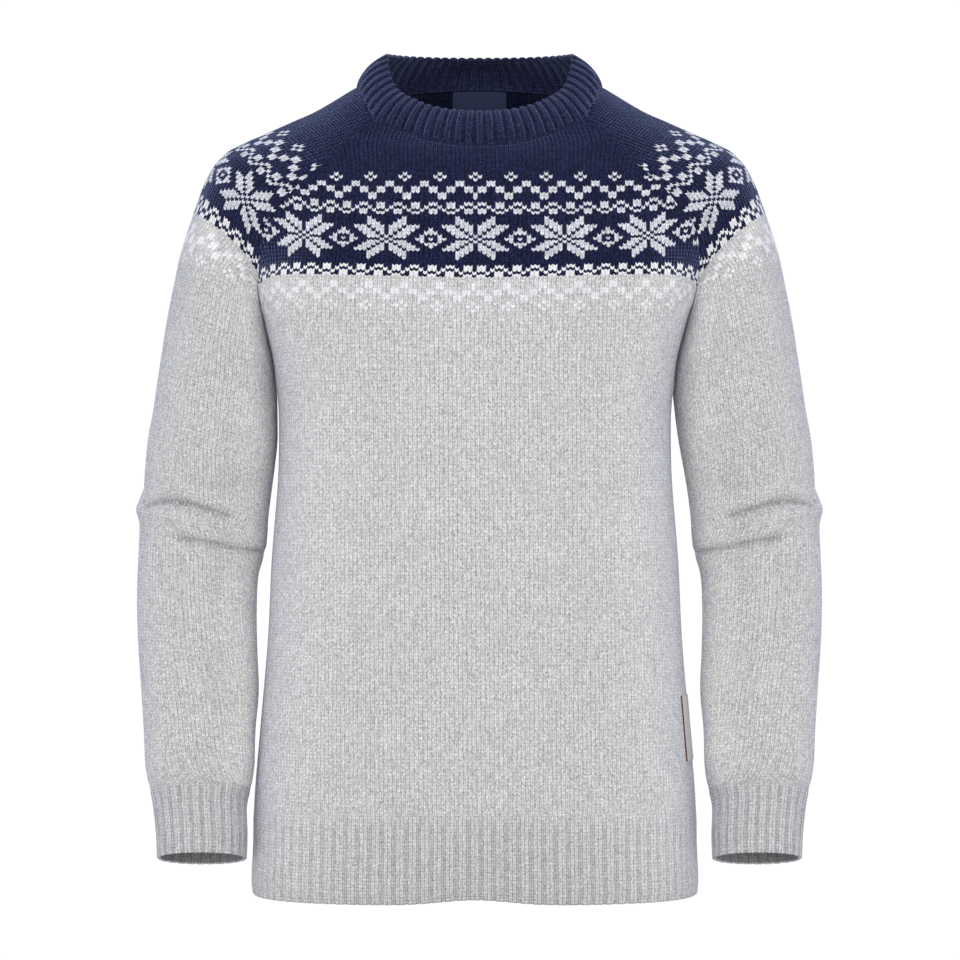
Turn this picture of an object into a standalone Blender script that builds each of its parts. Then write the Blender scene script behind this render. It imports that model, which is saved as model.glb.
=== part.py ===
"""A raglan yoke sweater in knitted wool, hollow, in the shape that it has when it is worn.

The origin is the base of the neck: Z = 0 is the level of the high shoulder points, X = 0 and
Y = 0 the middle of the neck. +X is the wearer's left, -Y the front, +Z up. The garment is cut
as a front, a back, two raglan sleeves, a neckband, two hem ribs and two cuffs. Each piece is a
wall whose outer face follows courses of the knitting: curves that run from the middle of a
panel to its seam, worked out from the tables below. Tables are in millimetres and degrees.
"""

import math

import bmesh
import bpy
import numpy as np

MM = 0.001

# ---------------------------------------------------------------- driving sizes, millimetres
WALL = 2.4              # thickness of plain knitting
BAND_WALL = 3.0         # thickness of the neckband, which is knitted double
SEAM_GAP = 0.34         # clearance between two pieces at a seam
RIB_CREST = 0.8         # how far a rib stands proud of the wall
RIB_GROOVE = 0.5        # how deep the groove between two ribs lies

NECK_RIBS_FRONT = 32    # ribs from one shoulder round the front to the other
NECK_RIBS_BACK = 26
HEM_RIBS = 47           # ribs on each half of the hem
CUFF_RIBS = 22

PANEL_COLUMNS = 24      # facets across a panel
SLEEVE_COLUMNS = 24     # facets round a sleeve

# The yoke: the course table of the front, from the neckline down to the underarm point.
# c_ is the middle of the course, s_ its end on the raglan seam. turn is the angle by which the
# course has turned backwards at the seam, mid and end are the lengths of its curve handles:
# mid as a share of s_x, end in millimetres. lean moves the whole course towards the right.
YOKE_COLUMNS = "c_z c_y s_x s_y s_z turn mid end lean"
FRONT_YOKE = (
    (-51.0, -80.0, 91.7, -52.0, -28.2, 18, 0.45, 34, 0.0),
    (-58.3, -88.0, 112.5, -61.0, -46.2, 20, 0.46, 40, 0.0),
    (-67.5, -97.0, 129.7, -67.0, -61.4, 20, 0.47, 46, 0.0),
    (-78.3, -105.0, 146.0, -71.0, -74.6, 20, 0.48, 52, 0.0),
    (-89.9, -112.0, 159.8, -73.0, -87.7, 22, 0.50, 56, 0.0),
    (-103.9, -118.0, 171.9, -73.0, -102.5, 26, 0.52, 60, 0.0),
    (-116.1, -123.0, 183.2, -72.0, -115.4, 32, 0.54, 66, 0.0),
    (-131.0, -127.0, 189.4, -68.0, -130.8, 42, 0.56, 72, 0.0),
    (-149.9, -131.0, 191.5, -60.0, -152.1, 58, 0.59, 80, 0.0),
    (-173.0, -134.0, 191.0, -45.0, -176.7, 74, 0.62, 88, -2.0),
    (-199.0, -136.0, 184.5, -27.0, -205.0, 84, 0.65, 96, -3.4),
    (-230.0, -136.5, 177.5, -9.0, -236.0, 88, 0.68, 102, -3.9),
    (-262.0, -136.0, 174.0, 8.0, -266.0, 90, 0.70, 105, -4.0),
)
BACK_YOKE = (
    (7.5, 62.0, 78.0, 44.0, 2.0, 30, 0.45, 30, 0.0),
    (-7.0, 73.0, 97.0, 57.0, -14.2, 26, 0.46, 36, 0.0),
    (-21.8, 83.0, 115.0, 66.0, -30.8, 23, 0.47, 42, 0.0),
    (-37.0, 91.0, 132.0, 73.0, -48.0, 22, 0.48, 46, 0.0),
    (-54.0, 98.0, 147.0, 77.0, -66.0, 24, 0.50, 50, 0.0),
    (-73.0, 105.0, 161.0, 79.0, -86.0, 28, 0.52, 54, 0.0),
    (-94.0, 111.0, 173.0, 78.5, -107.0, 33, 0.54, 58, 0.0),
    (-118.0, 116.0, 182.0, 75.0, -130.0, 42, 0.56, 61, 0.0),
    (-145.0, 120.0, 187.5, 68.0, -153.0, 56, 0.59, 64, 0.0),
    (-173.0, 122.0, 188.5, 55.0, -177.0, 72, 0.62, 66, -2.0),
    (-202.0, 122.0, 184.0, 39.0, -206.0, 82, 0.65, 70, -3.4),
    (-232.0, 120.0, 178.0, 23.0, -236.0, 88, 0.68, 76, -3.9),
    (-262.0, 118.0, 174.0, 8.0, -266.0, 90, 0.70, 80, -4.0),
)

# The body below the underarm: half its width and the depth of its front and back.
BODY_COLUMNS = "z half front back side"
BODY = (
    (-266.0, 174.0, -136.0, 118.0, 8.0),
    (-290.0, 172.5, -135.0, 117.0, 8.0),
    (-340.0, 173.4, -133.0, 114.0, 8.0),
    (-410.0, 178.9, -131.0, 115.0, 8.0),
    (-480.0, 182.3, -130.0, 118.0, 8.0),
    (-550.0, 188.2, -129.0, 120.0, 8.0),
    (-600.0, 192.6, -129.0, 120.0, 7.0),
    (-628.0, 194.4, -129.0, 119.0, 6.0),
    (-660.0, 194.8, -129.0, 118.0, 6.0),
    (-692.0, 196.2, -128.0, 117.0, 6.0),
    (-705.5, 195.2, -126.0, 115.5, 6.0),
)
BODY_LEAN = -4.0        # the body hangs a little towards the wearer's right
BODY_MID = 0.70         # handle of a body course at its middle, share of its half width
BODY_END = 0.72         # handle at its side seam, share of its depth
HEM_TOP = 7             # station of BODY where the hem rib starts
HEM_ARCH = 5.0          # how far the hem rises at the middle of the front
HEM_ARCH_BACK = 2.0
HEM_ARCH_WIDTH = 42.0
HEM_CORNER = 1.8        # how far the hem rises at its side seams

# The sleeve's outer line, from the neck over the shoulder and down the arm, with the curve
# handles of the courses that cross it. Courses of the cap end on the raglan seams, and press
# turns their ends forwards and backwards into the fold between arm and body.
CAP_COLUMNS = "o_x o_y o_z at_seam at_outer press"
CAP = (
    (108.0, -4.0, 4.3, 22, 20, 0.0),
    (142.0, 0.0, -15.8, 27, 26, 0.0),
    (163.5, 2.0, -25.4, 31, 30, 0.0),
    (184.0, 4.0, -34.4, 34, 34, 0.0),
    (203.4, 5.0, -42.8, 36, 38, 0.0),
    (220.3, 5.0, -51.2, 38, 41, 0.0),
    (232.2, 5.0, -62.6, 40, 45, 0.0),
    (241.2, 5.0, -78.2, 42, 49, 0.08),
    (248.6, 5.0, -97.5, 46, 54, 0.25),
    (262.6, 5.0, -140.0, 58, 60, 0.58),
    (268.6, 5.0, -167.0, 80, 65, 0.82),
    (275.2, 6.0, -199.5, 100, 70, 0.95),
    (280.4, 6.0, -232.5, 112, 74, 1.0),
)
# The arm below the underarm point: inner line i_, outer line o_, handles of the front and the
# back half of each round course, rise of its front over its sides, and the body's lean there.
ARM_COLUMNS = "i_x i_y i_z o_x o_y o_z front back rise lean"
ARM = (
    (174.0, 8.0, -266.0, 280.4, 6.0, -232.5, 93, 90, 0.0, -4.0),
    (175.4, 7.0, -290.0, 284.4, 6.5, -258.7, 91, 89, 0.0, -2.4),
    (176.8, 7.0, -308.0, 287.6, 7.0, -280.5, 89, 88, 0.0, -1.2),
    (180.5, 7.5, -333.0, 292.2, 8.0, -305.0, 86, 86, 0.0, -0.3),
    (184.0, 8.5, -356.0, 295.0, 9.0, -333.5, 82, 84, 0.0, 0.0),
    (186.1, 9.5, -373.0, 296.4, 10.0, -351.0, 80, 83, 0.0, 0.0),
    (187.0, 10.0, -388.0, 302.6, 10.5, -366.0, 80, 83, 0.5, 0.0),
    (189.0, 9.5, -403.0, 299.8, 10.0, -381.0, 77, 80, 1.0, 0.0),
    (195.0, 8.0, -427.0, 300.6, 8.5, -406.0, 74, 76, 1.5, 0.0),
    (196.2, 4.5, -457.0, 301.6, 4.5, -441.0, 71, 73, 2.0, 0.0),
    (195.4, -1.5, -491.0, 300.4, -1.0, -481.0, 68, 69, 3.0, 0.0),
    (193.8, -9.0, -526.0, 297.4, -8.5, -520.0, 64, 65, 4.5, 0.0),
    (196.4, -17.5, -560.0, 294.4, -17.0, -558.0, 60, 60, 5.5, 0.0),
    (196.8, -25.0, -588.0, 292.6, -25.0, -588.0, 57, 56, 7.0, 0.0),
    (198.6, -30.0, -604.0, 289.8, -30.0, -604.0, 53, 52, 8.0, 0.0),
    (200.4, -32.0, -611.0, 287.6, -32.0, -611.0, 48, 47, 8.0, 0.0),
    (203.6, -36.0, -626.0, 284.4, -36.0, -626.0, 44, 43, 8.0, 0.0),
    (202.8, -41.0, -649.0, 281.6, -41.0, -649.0, 42, 41, 7.7, 0.0),
    (203.2, -45.5, -670.5, 280.4, -45.5, -670.5, 41, 40, 7.5, 0.0),
)
CUFF_TOP = 15           # station of ARM where the cuff starts
PRESS_OUT = 0.15        # share of outward travel in a course end pressed into the fold
CHORD_DEPTH = 0.6       # share of its travel in Y that a course keeps as it leaves the seam
TUBE_BLEND = 4          # stations below the underarm over which the cap turns into the arm
HANDLE_TO_BULGE = 0.75  # a cubic's middle lies at this share of its handles

# Soft folds of each sleeve, on the wearer's right, as lines in X and Z on its front or back.
FOLD_COLUMNS = "face x_0 z_0 x_1 z_1 depth width"
FOLDS = (
    (-1, -186.0, -343.0, -235.0, -348.0, 1.6, 9.0),
    (-1, -300.0, -360.0, -270.0, -358.0, 3.0, 9.0),
    (-1, -270.0, -358.0, -237.0, -366.0, 3.0, 9.0),
    (-1, -237.0, -366.0, -213.0, -373.0, 2.4, 9.0),
    (-1, -273.0, -387.0, -246.0, -394.0, 3.0, 9.0),
    (-1, -246.0, -394.0, -214.0, -399.0, 3.6, 9.0),
    (-1, -214.0, -399.0, -192.0, -401.0, 3.6, 9.0),
    (-1, -222.0, -536.0, -200.0, -549.0, 2.0, 11.0),
    (1, -292.0, -330.0, -238.0, -346.0, 2.2, 10.0),
    (1, -196.0, -366.0, -250.0, -374.0, 3.0, 10.0),
    (1, -290.0, -398.0, -232.0, -405.0, 2.6, 10.0),
    (1, -205.0, -560.0, -250.0, -572.0, 2.0, 11.0),
)
FOLD_BLEND = 40.0       # width in Y over which the folds in front give way to those behind

# The neckband's top edge, by the angle from the front: half width, depth and height.
RIM_COLUMNS = "angle z"
RIM = (
    (0, -21.5), (17, -20.0), (33, -15.5), (48, -7.5), (61, -0.5), (68, 7.0),
    (76, 17.5), (83, 27.0), (90, 33.0), (110, 33.6), (145, 33.5), (180, 33.6),
)
RIM_BLUR = 6.0          # degrees over which its heights are averaged
RIM_HALF = 82.5
RIM_MIDDLE = -6.0       # Y of the widest place of the neck opening
RIM_FRONT = 57.0
RIM_BACK = 55.0
BAND_BULGE = 4.2        # how far the band swells between its edges
BAND_ROWS = (0.0, 0.09, 0.36, 0.68, 1.0)    # from the seam to the top edge

# Rows of the ribs, as stations below the seam that they start from.
HEM_ROWS = (0.0, 0.12, 1.6, 3.0)
CUFF_ROWS = (0.0, 0.3, 1.5, 3.0)
RIB_PLUMB = 0.2         # share of their normals' Z that the hem ribs keep

NECK_LABEL_HALF = 24.0
NECK_LABEL_COLUMNS = 6
NECK_LABEL_TOP_STATION = 0.03   # just under the neck seam
NECK_LABEL_BOTTOM = -32.0
NECK_LABEL_THICK = 0.9
NECK_LABEL_GAP = 0.5
SIDE_LABEL_TOP = -529.0
SIDE_LABEL_HEIGHT = 57.0
SIDE_LABEL_SHARES = (0.815, 0.955)  # its front and back edge on the front panel's courses
SIDE_LABEL_THICK = 1.5
SIDE_LABEL_GAP = 0.32

# Steps of the measurements, in shares or stations, and samples of a course or its search.
SLOPE_STEP = 0.01
SEAM_STEP = 0.02
COURSE_SAMPLES = 401
SEARCH_STEPS = 40

NAVY = (0.018, 0.021, 0.052, 1.0)
GREY = (0.50, 0.50, 0.51, 1.0)
LABEL_NAVY = (0.028, 0.034, 0.075, 1.0)
LEATHER = (0.16, 0.075, 0.05, 1.0)
WOOL_ROUGHNESS = 0.95
LABEL_ROUGHNESS = 0.7
LEATHER_ROUGHNESS = 0.6


# ---------------------------------------------------------------- tables and curves
def table(columns, rows):
    """The columns of a table by name, each as an array with one value per row."""
    values = np.array(rows, float)
    return {name: values[:, i] for i, name in enumerate(columns.split())}


def along(values, t):
    """A smooth curve through a column's values, read at station t."""
    last = len(values) - 1
    i = int(min(max(math.floor(t), 0), last - 1))
    f = t - i
    a, b = values[i], values[i + 1]
    slope_a = (b - values[i - 1]) / 2 if i > 0 else b - a
    slope_b = (values[i + 2] - a) / 2 if i + 2 <= last else b - a
    return (a * (2 * f ** 3 - 3 * f ** 2 + 1) + slope_a * (f ** 3 - 2 * f ** 2 + f)
            + b * (3 * f ** 2 - 2 * f ** 3) + slope_b * (f ** 3 - f ** 2))


def bezier(p0, p1, p2, p3, s):
    return ((1 - s) ** 3 * p0 + 3 * s * (1 - s) ** 2 * p1
            + 3 * s ** 2 * (1 - s) * p2 + s ** 3 * p3)


def unit(v):
    return v / np.linalg.norm(v)


FRONT, BACK = -1, 1
RIGHT, LEFT = -1, 1
UP = np.array((0.0, 0.0, 1.0))
OUTWARD = np.array((1.0, 0.0, 0.0))
TO_SLEEVE = {FRONT: (0.5, 0.3), BACK: (-0.5, 0.3)}     # Y and Z of the way from a panel

YOKES = {FRONT: table(YOKE_COLUMNS, FRONT_YOKE), BACK: table(YOKE_COLUMNS, BACK_YOKE)}
BODY_TABLE = table(BODY_COLUMNS, BODY)
CAP_TABLE = table(CAP_COLUMNS, CAP)
ARM_TABLE = table(ARM_COLUMNS, ARM)
FOLD_TABLE = table(FOLD_COLUMNS, FOLDS)
RIM_TABLE = table(RIM_COLUMNS, RIM)
UNDERARM = len(FRONT_YOKE) - 1
BODY_END_STATION = UNDERARM + len(BODY) - 1
HEM_STATION = UNDERARM + HEM_TOP
CUFF_STATION = UNDERARM + CUFF_TOP
ARM_END_STATION = UNDERARM + len(ARM) - 1
OUTER_LINE = {
    name: np.concatenate((CAP_TABLE[name], ARM_TABLE[name][1:])) for name in ("o_x", "o_y", "o_z")
}


# ---------------------------------------------------------------- the cloth as surfaces
def course(face, side, t):
    """Handles of a panel's course at station t, from the middle of the panel to its seam."""
    if t <= UNDERARM:
        row = {name: along(values, t) for name, values in YOKES[face].items()}
        middle = np.array((row["lean"], row["c_y"], row["c_z"]))
        seam = np.array((side * row["s_x"] + row["lean"], row["s_y"], row["s_z"]))
        turn = math.radians(row["turn"])
        reach, end = row["mid"] * row["s_x"], row["end"]
    else:
        row = {name: along(values, t - UNDERARM) for name, values in BODY_TABLE.items()}
        depth = row["front"] if face == FRONT else row["back"]
        middle = np.array((BODY_LEAN, depth, row["z"]))
        seam = np.array((side * row["half"] + BODY_LEAN, row["side"], row["z"]))
        turn = math.pi / 2
        reach, end = BODY_MID * row["half"], BODY_END * abs(depth - row["side"])
        fade = min(1.0, t - UNDERARM)
        yoke_end = YOKES[face]["end"][-1]
        end = yoke_end + (end - yoke_end) * fade
    p1 = middle + np.array((side * reach, 0.0, 0.0))
    p2 = seam - end * np.array((side * math.cos(turn), -face * math.sin(turn), 0.0))
    p2[2] = (middle[2] + seam[2]) / 2
    return middle, p1, p2, seam, unit(seam - p2)


def panel_point(face, c, t):
    """A point of the front or back panel: c runs from -1, the right seam, to 1, the left."""
    side = LEFT if c >= 0 else RIGHT
    middle, p1, p2, seam, _ = course(face, side, t)
    point = bezier(middle, p1, p2, seam, abs(c))
    if t > HEM_STATION:
        share = (t - HEM_STATION) / (BODY_END_STATION - HEM_STATION)
        arch = math.exp(-((point[0] - BODY_LEAN) / HEM_ARCH_WIDTH) ** 2)
        rise = HEM_ARCH if face == FRONT else HEM_ARCH_BACK
        point[2] += share * (rise * arch + HEM_CORNER * abs(c) ** 3)
    return point


def seam_run(face, side, t):
    """The direction of the raglan seam at station t, downwards."""
    a = course(face, side, max(t - SEAM_STEP, 0.0))[3]
    b = course(face, side, min(t + SEAM_STEP, UNDERARM))[3]
    return unit(b - a)


def cap_heading(face, side, t, outer):
    """The direction in which a sleeve's course leaves the raglan seam."""
    _, _, _, seam, heading = course(face, side, t)
    normal = np.cross(heading, seam_run(face, side, t))
    chord = unit(outer - seam)
    chord[1] *= CHORD_DEPTH
    smooth = unit(chord - normal * np.dot(chord, normal) / np.dot(normal, normal))
    folded = unit(np.array((side * PRESS_OUT, float(face), 0.0)))
    press = along(CAP_TABLE["press"], t)
    return unit(smooth * (1 - press) + folded * press)


def sleeve_point(side, c, t):
    """A point of a sleeve: c runs from -1, its front seam, over the outer line to 1, behind."""
    face = FRONT if c < 0 else BACK
    outer = np.array([along(OUTER_LINE[name], t) for name in ("o_x", "o_y", "o_z")])
    outer[0] *= side
    if t <= UNDERARM:
        start = course(face, side, t)[3]
        from_seam = along(CAP_TABLE["at_seam"], t)
        to_outer = along(CAP_TABLE["at_outer"], t)
        heading = cap_heading(face, side, t, outer)
        rise = 0.0
    else:
        row = {name: along(values, t - UNDERARM) for name, values in ARM_TABLE.items()}
        start = np.array((side * row["i_x"] + row["lean"], row["i_y"], row["i_z"]))
        handle = row["front"] if face == FRONT else row["back"]
        fade = min(1.0, (t - UNDERARM) / TUBE_BLEND)
        from_seam = CAP_TABLE["at_seam"][-1] * (1 - fade) + handle * fade
        to_outer = CAP_TABLE["at_outer"][-1] * (1 - fade) + handle * fade
        out = PRESS_OUT * (1 - fade)
        heading = unit(np.array((side * out, float(face), 0.0)))
        rise = -face * row["rise"]
    lift = np.array((0.0, 0.0, rise / HANDLE_TO_BULGE))
    p1 = start + from_seam * heading + lift
    p2 = outer + np.array((0.0, face * to_outer, 0.0)) + lift
    return bezier(start, p1, p2, outer, 1 - abs(c))


def fold_depth(side, middle_y, point):
    """How far the soft folds press a sleeve's surface in at a point."""
    depths = {FRONT: 0.0, BACK: 0.0}
    here = np.array((point[0] * -side, point[2]))
    for i in range(len(FOLDS)):
        a = np.array((FOLD_TABLE["x_0"][i], FOLD_TABLE["z_0"][i]))
        b = np.array((FOLD_TABLE["x_1"][i], FOLD_TABLE["z_1"][i]))
        share = np.clip(np.dot(here - a, b - a) / np.dot(b - a, b - a), 0.0, 1.0)
        away = np.linalg.norm(here - (a + share * (b - a))) / FOLD_TABLE["width"][i]
        face = int(FOLD_TABLE["face"][i])
        depths[face] = max(depths[face], FOLD_TABLE["depth"][i] * math.exp(-away ** 2))
    behind = min(max(0.5 + (point[1] - middle_y) / FOLD_BLEND, 0.0), 1.0)
    return depths[FRONT] * (1 - behind) + depths[BACK] * behind


def cross_of(surface, c, t, t_end):
    """The unit cross product of a surface's two directions at (c, t)."""
    across = surface(min(c + SLOPE_STEP, 1.0), t) - surface(max(c - SLOPE_STEP, -1.0), t)
    down = surface(c, min(t + SLOPE_STEP, t_end)) - surface(c, max(t - SLOPE_STEP, 0.0))
    return unit(np.cross(across, down))


def panel_normal(face, c, t):
    return face * cross_of(lambda a, b: panel_point(face, a, b), c, t, BODY_END_STATION)


def sleeve_normal(side, c, t):
    return -side * cross_of(lambda a, b: sleeve_point(side, a, b), c, t, ARM_END_STATION)


def folded_sleeve(side, c, t):
    """A sleeve's surface with its soft folds pressed in, and its normal."""
    point = sleeve_point(side, c, t)
    normal = sleeve_normal(side, c, t)
    depth = fold_depth(side, along(OUTER_LINE["o_y"], t), point)
    return point - depth * normal, normal


# ---------------------------------------------------------------- seams
def square_to(v, run):
    return unit(v - np.dot(v, run) * run)


def raglan_frame(face, side, t):
    """Which way the raglan seam faces at station t, and the direction from panel to sleeve."""
    if t >= UNDERARM:
        return -UP, side * OUTWARD
    run = seam_run(face, side, t)
    _, _, _, seam, heading = course(face, side, t)
    outer = np.array([along(OUTER_LINE[name], t) for name in ("o_x", "o_y", "o_z")])
    outer[0] *= side
    into_panel = square_to(-heading, run)
    into_sleeve = square_to(cap_heading(face, side, t, outer), run)
    panel = square_to(panel_normal(face, side, t), run)
    sleeve = square_to(sleeve_normal(side, face, t), run)
    facing = square_to(into_panel + into_sleeve + panel + sleeve, run)
    apart = unit(np.cross(run, facing))
    return facing, apart if np.dot(apart, (side, *TO_SLEEVE[face])) > 0 else -apart


def wall_at_seam(own, facing, apart):
    """The direction of a piece's edge through its wall; apart points at the other piece."""
    leant = unit(own + facing)
    return leant if np.dot(leant, apart) > 0 else facing


class Sheet:
    """A grid of base points with the directions through the wall, row by row."""

    def __init__(self, rows, columns):
        self.base = np.zeros((rows, columns, 3))
        self.through = np.zeros((rows, columns, 3))
        self.relief = np.zeros((rows, columns))
        self.shift = np.zeros((rows, columns, 3))

    def outer(self):
        return self.base + self.relief[..., None] * self.through + self.shift

    def inner(self, wall):
        return self.base - wall * self.through + self.shift


def panel_sheet(face):
    """The front or the back panel as a sheet, its columns from the right seam to the left."""
    shares = np.linspace(-1.0, 1.0, PANEL_COLUMNS + 1)
    sheet = Sheet(HEM_STATION + 1, len(shares))
    for j in range(HEM_STATION + 1):
        for i, c in enumerate(shares):
            sheet.base[j, i] = panel_point(face, c, j)
            sheet.through[j, i] = panel_normal(face, c, j)
        for i, side in ((0, RIGHT), (-1, LEFT)):
            own = sheet.through[j, i]
            to_other_panel = np.array((0.0, -float(face), 0.0))
            if j <= UNDERARM:
                facing, apart = raglan_frame(face, side, j)
                sheet.through[j, i] = wall_at_seam(own, facing, apart)
                sheet.shift[j, i] = -SEAM_GAP / 2 * apart
                if j == UNDERARM:
                    sheet.shift[j, i] -= SEAM_GAP / 2 * to_other_panel
            else:
                sheet.through[j, i] = unit(own * (1.0, 0.0, 1.0))
                sheet.shift[j, i] = -SEAM_GAP / 2 * to_other_panel
    return sheet


def sleeve_sheet(side):
    """A sleeve as a sheet: open above the underarm, closed to a tube below it."""
    shares = np.linspace(-1.0, 1.0, SLEEVE_COLUMNS + 1)
    sheet = Sheet(CUFF_STATION + 1, len(shares))
    for j in range(CUFF_STATION + 1):
        for i, c in enumerate(shares):
            sheet.base[j, i], sheet.through[j, i] = folded_sleeve(side, c, j)
        for i, face in ((0, FRONT), (-1, BACK)):
            if j <= UNDERARM:
                sheet.base[j, i] = course(face, side, j)[3]
                facing, apart = raglan_frame(face, side, j)
                sheet.through[j, i] = wall_at_seam(sheet.through[j, i], facing, -apart)
                sheet.shift[j, i] = SEAM_GAP / 2 * apart
        if j >= UNDERARM:
            sheet.base[j, 0] = sheet.base[j, -1] = (sheet.base[j, 0] + sheet.base[j, -1]) / 2
            joined = unit(sheet.through[j, 0] + sheet.through[j, -1])
            sheet.through[j, 0] = sheet.through[j, -1] = joined
    return sheet


# ---------------------------------------------------------------- the neck
def rim_height(angle):
    """Height of the neckband's top edge, smoothed over a few degrees."""
    angles = np.abs(angle + np.linspace(-RIM_BLUR, RIM_BLUR, 13))
    angles = np.where(angles > 180.0, 360.0 - angles, angles)
    return float(np.mean(np.interp(angles, RIM_TABLE["angle"], RIM_TABLE["z"])))


def rim_point(angle):
    """A point of the neckband's top edge; the angle runs from the front to the left side."""
    a = math.radians(angle)
    depth = RIM_FRONT if math.cos(a) > 0 else RIM_BACK
    folded = angle % 360.0
    folded = 360.0 - folded if folded > 180.0 else folded
    return np.array((RIM_HALF * math.sin(a), RIM_MIDDLE - depth * math.cos(a),
                     rim_height(folded)))


def spread(points, marks, counts):
    """Positions along a polyline: each stretch between two marks in equal steps by length."""
    steps = np.linalg.norm(np.diff(points, axis=0), axis=1)
    length = np.concatenate(([0.0], np.cumsum(steps)))
    positions = []
    for a, b, count in zip(marks, marks[1:], counts):
        targets = np.linspace(length[a], length[b], count + 1)[:-1]
        positions.extend(np.interp(targets, length, np.arange(len(points))))
    return np.array(positions)


def read_at(values, positions):
    """Values of a polyline's points, read between them at fractional positions."""
    i = np.minimum(positions.astype(int), len(values) - 2)
    f = (positions - i)[:, None]
    return values[i] * (1 - f) + values[i + 1] * f


def neck_loop(sheets):
    """The neckline through the tops of all four pieces: points and who owns each of them."""
    order = [("front_panel", i) for i in range(PANEL_COLUMNS // 2, PANEL_COLUMNS + 1)]
    order += [("sleeve_left", i) for i in range(1, SLEEVE_COLUMNS + 1)]
    order += [("back_panel", i) for i in range(PANEL_COLUMNS - 1, -1, -1)]
    order += [("sleeve_right", i) for i in range(SLEEVE_COLUMNS - 1, -1, -1)]
    order += [("front_panel", i) for i in range(1, PANEL_COLUMNS // 2 + 1)]
    return order, np.array([sheets[name].base[0, i] for name, i in order])


def set_neckline(sheets):
    """Turn the tops of all pieces to the neckband and open the seam; returns the band's foot."""
    order, points = neck_loop(sheets)
    count = len(points) - 1
    half_p, half_s = PANEL_COLUMNS // 2, SLEEVE_COLUMNS // 2
    marks = [0, half_p + half_s, half_p * 2 + half_s * 2, half_p * 3 + half_s * 3, count]
    ribs = [NECK_RIBS_FRONT, NECK_RIBS_BACK, NECK_RIBS_BACK, NECK_RIBS_FRONT]
    quarters = (0.0, 90.0, 180.0, 270.0, 360.0)
    facing = np.zeros_like(points)
    up = np.zeros_like(points)
    for m in range(count + 1):
        before, after = points[(m - 1) % count], points[(m + 1) % count]
        run = unit(after - before)
        q = max(k for k in range(4) if marks[k] <= min(m, count - 1))
        share = (m - marks[q]) / (marks[q + 1] - marks[q])
        rim = rim_point(quarters[q] + 90.0 * share)
        name, i = order[m]
        own = sheets[name].through[0, i]
        rising = square_to(rim - points[m], run)
        band = np.cross(rising, run)
        band = unit(band if np.dot(band, own) > 0 else -band)
        facing[m] = square_to(own + band, run)
        up[m] = np.cross(run, facing[m])
        up[m] = unit(up[m] if up[m][2] > 0 else -up[m])
    corners = {
        half_p: (FRONT, LEFT), half_p + 2 * half_s: (BACK, LEFT),
        3 * half_p + 2 * half_s: (BACK, RIGHT), 3 * half_p + 4 * half_s: (FRONT, RIGHT),
    }
    gap = SEAM_GAP / 2
    for m in range(count):
        name, i = order[m]
        if m not in corners:
            sheets[name].through[0, i] = facing[m]
            sheets[name].shift[0, i] = -gap * up[m]
            continue
        face, side = corners[m]
        apart = square_to(raglan_frame(face, side, 0)[1], facing[m])
        panel = sheets["front_panel" if face == FRONT else "back_panel"]
        sleeve = sheets["sleeve_right" if side == RIGHT else "sleeve_left"]
        a, b = (0 if side == RIGHT else -1), (0 if face == FRONT else -1)
        meet = np.dot(apart, up[m])
        panel.through[0, a] = sleeve.through[0, b] = facing[m]
        panel.shift[0, a] = -gap * (apart + up[m]) / (1 + meet)
        sleeve.shift[0, b] = gap * (apart - up[m]) / (1 - meet)
    where = spread(points, marks, ribs)
    return read_at(points, where), read_at(facing, where), read_at(up, where)


def neckband_sheet(foot, facing, up):
    """The neckband: from its foot on the neckline to its top edge, ribbed all round."""
    marks = [0, 90, 180, 270, 360]
    curve = np.array([rim_point(float(a)) for a in range(361)])
    ribs = [NECK_RIBS_FRONT, NECK_RIBS_BACK, NECK_RIBS_BACK, NECK_RIBS_FRONT]
    rims = read_at(curve, spread(curve, marks, ribs))
    columns = len(foot)
    sheet = Sheet(len(BAND_ROWS), columns)
    for j, v in enumerate(BAND_ROWS):
        for i in range(columns):
            straight = foot[i] * (1 - v) + rims[i] * v
            run = unit(rims[(i + 1) % columns] - rims[i - 1])
            out = np.cross(rims[i] - foot[i], run)
            out = unit(out if np.dot(out, facing[i]) > 0 else -out)
            sheet.base[j, i] = straight + BAND_BULGE * 4 * v * (1 - v) * out
    for j in range(len(BAND_ROWS)):
        low, high = max(j - 1, 0), min(j + 1, len(BAND_ROWS) - 1)
        for i in range(columns):
            rise = sheet.base[high, i] - sheet.base[low, i]
            run = sheet.base[j, (i + 1) % columns] - sheet.base[j, i - 1]
            normal = unit(np.cross(run, rise))
            sheet.through[j, i] = normal
            sheet.relief[j, i] = RIB_CREST if i % 2 == 0 else -RIB_GROOVE
    sheet.relief[0] = 0.0
    sheet.through[0] = facing
    sheet.shift[0] = SEAM_GAP / 2 * up
    return sheet


# ---------------------------------------------------------------- ribs of hem and cuffs
def even_shares(surface, t, count):
    """Shares c of a course that cut it into equal lengths."""
    shares = np.linspace(-1.0, 1.0, COURSE_SAMPLES)
    points = np.array([surface(c, t) for c in shares])
    steps = np.linalg.norm(np.diff(points, axis=0), axis=1)
    length = np.concatenate(([0.0], np.cumsum(steps)))
    return np.interp(np.linspace(0.0, length[-1], count + 1), length, shares)


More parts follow.
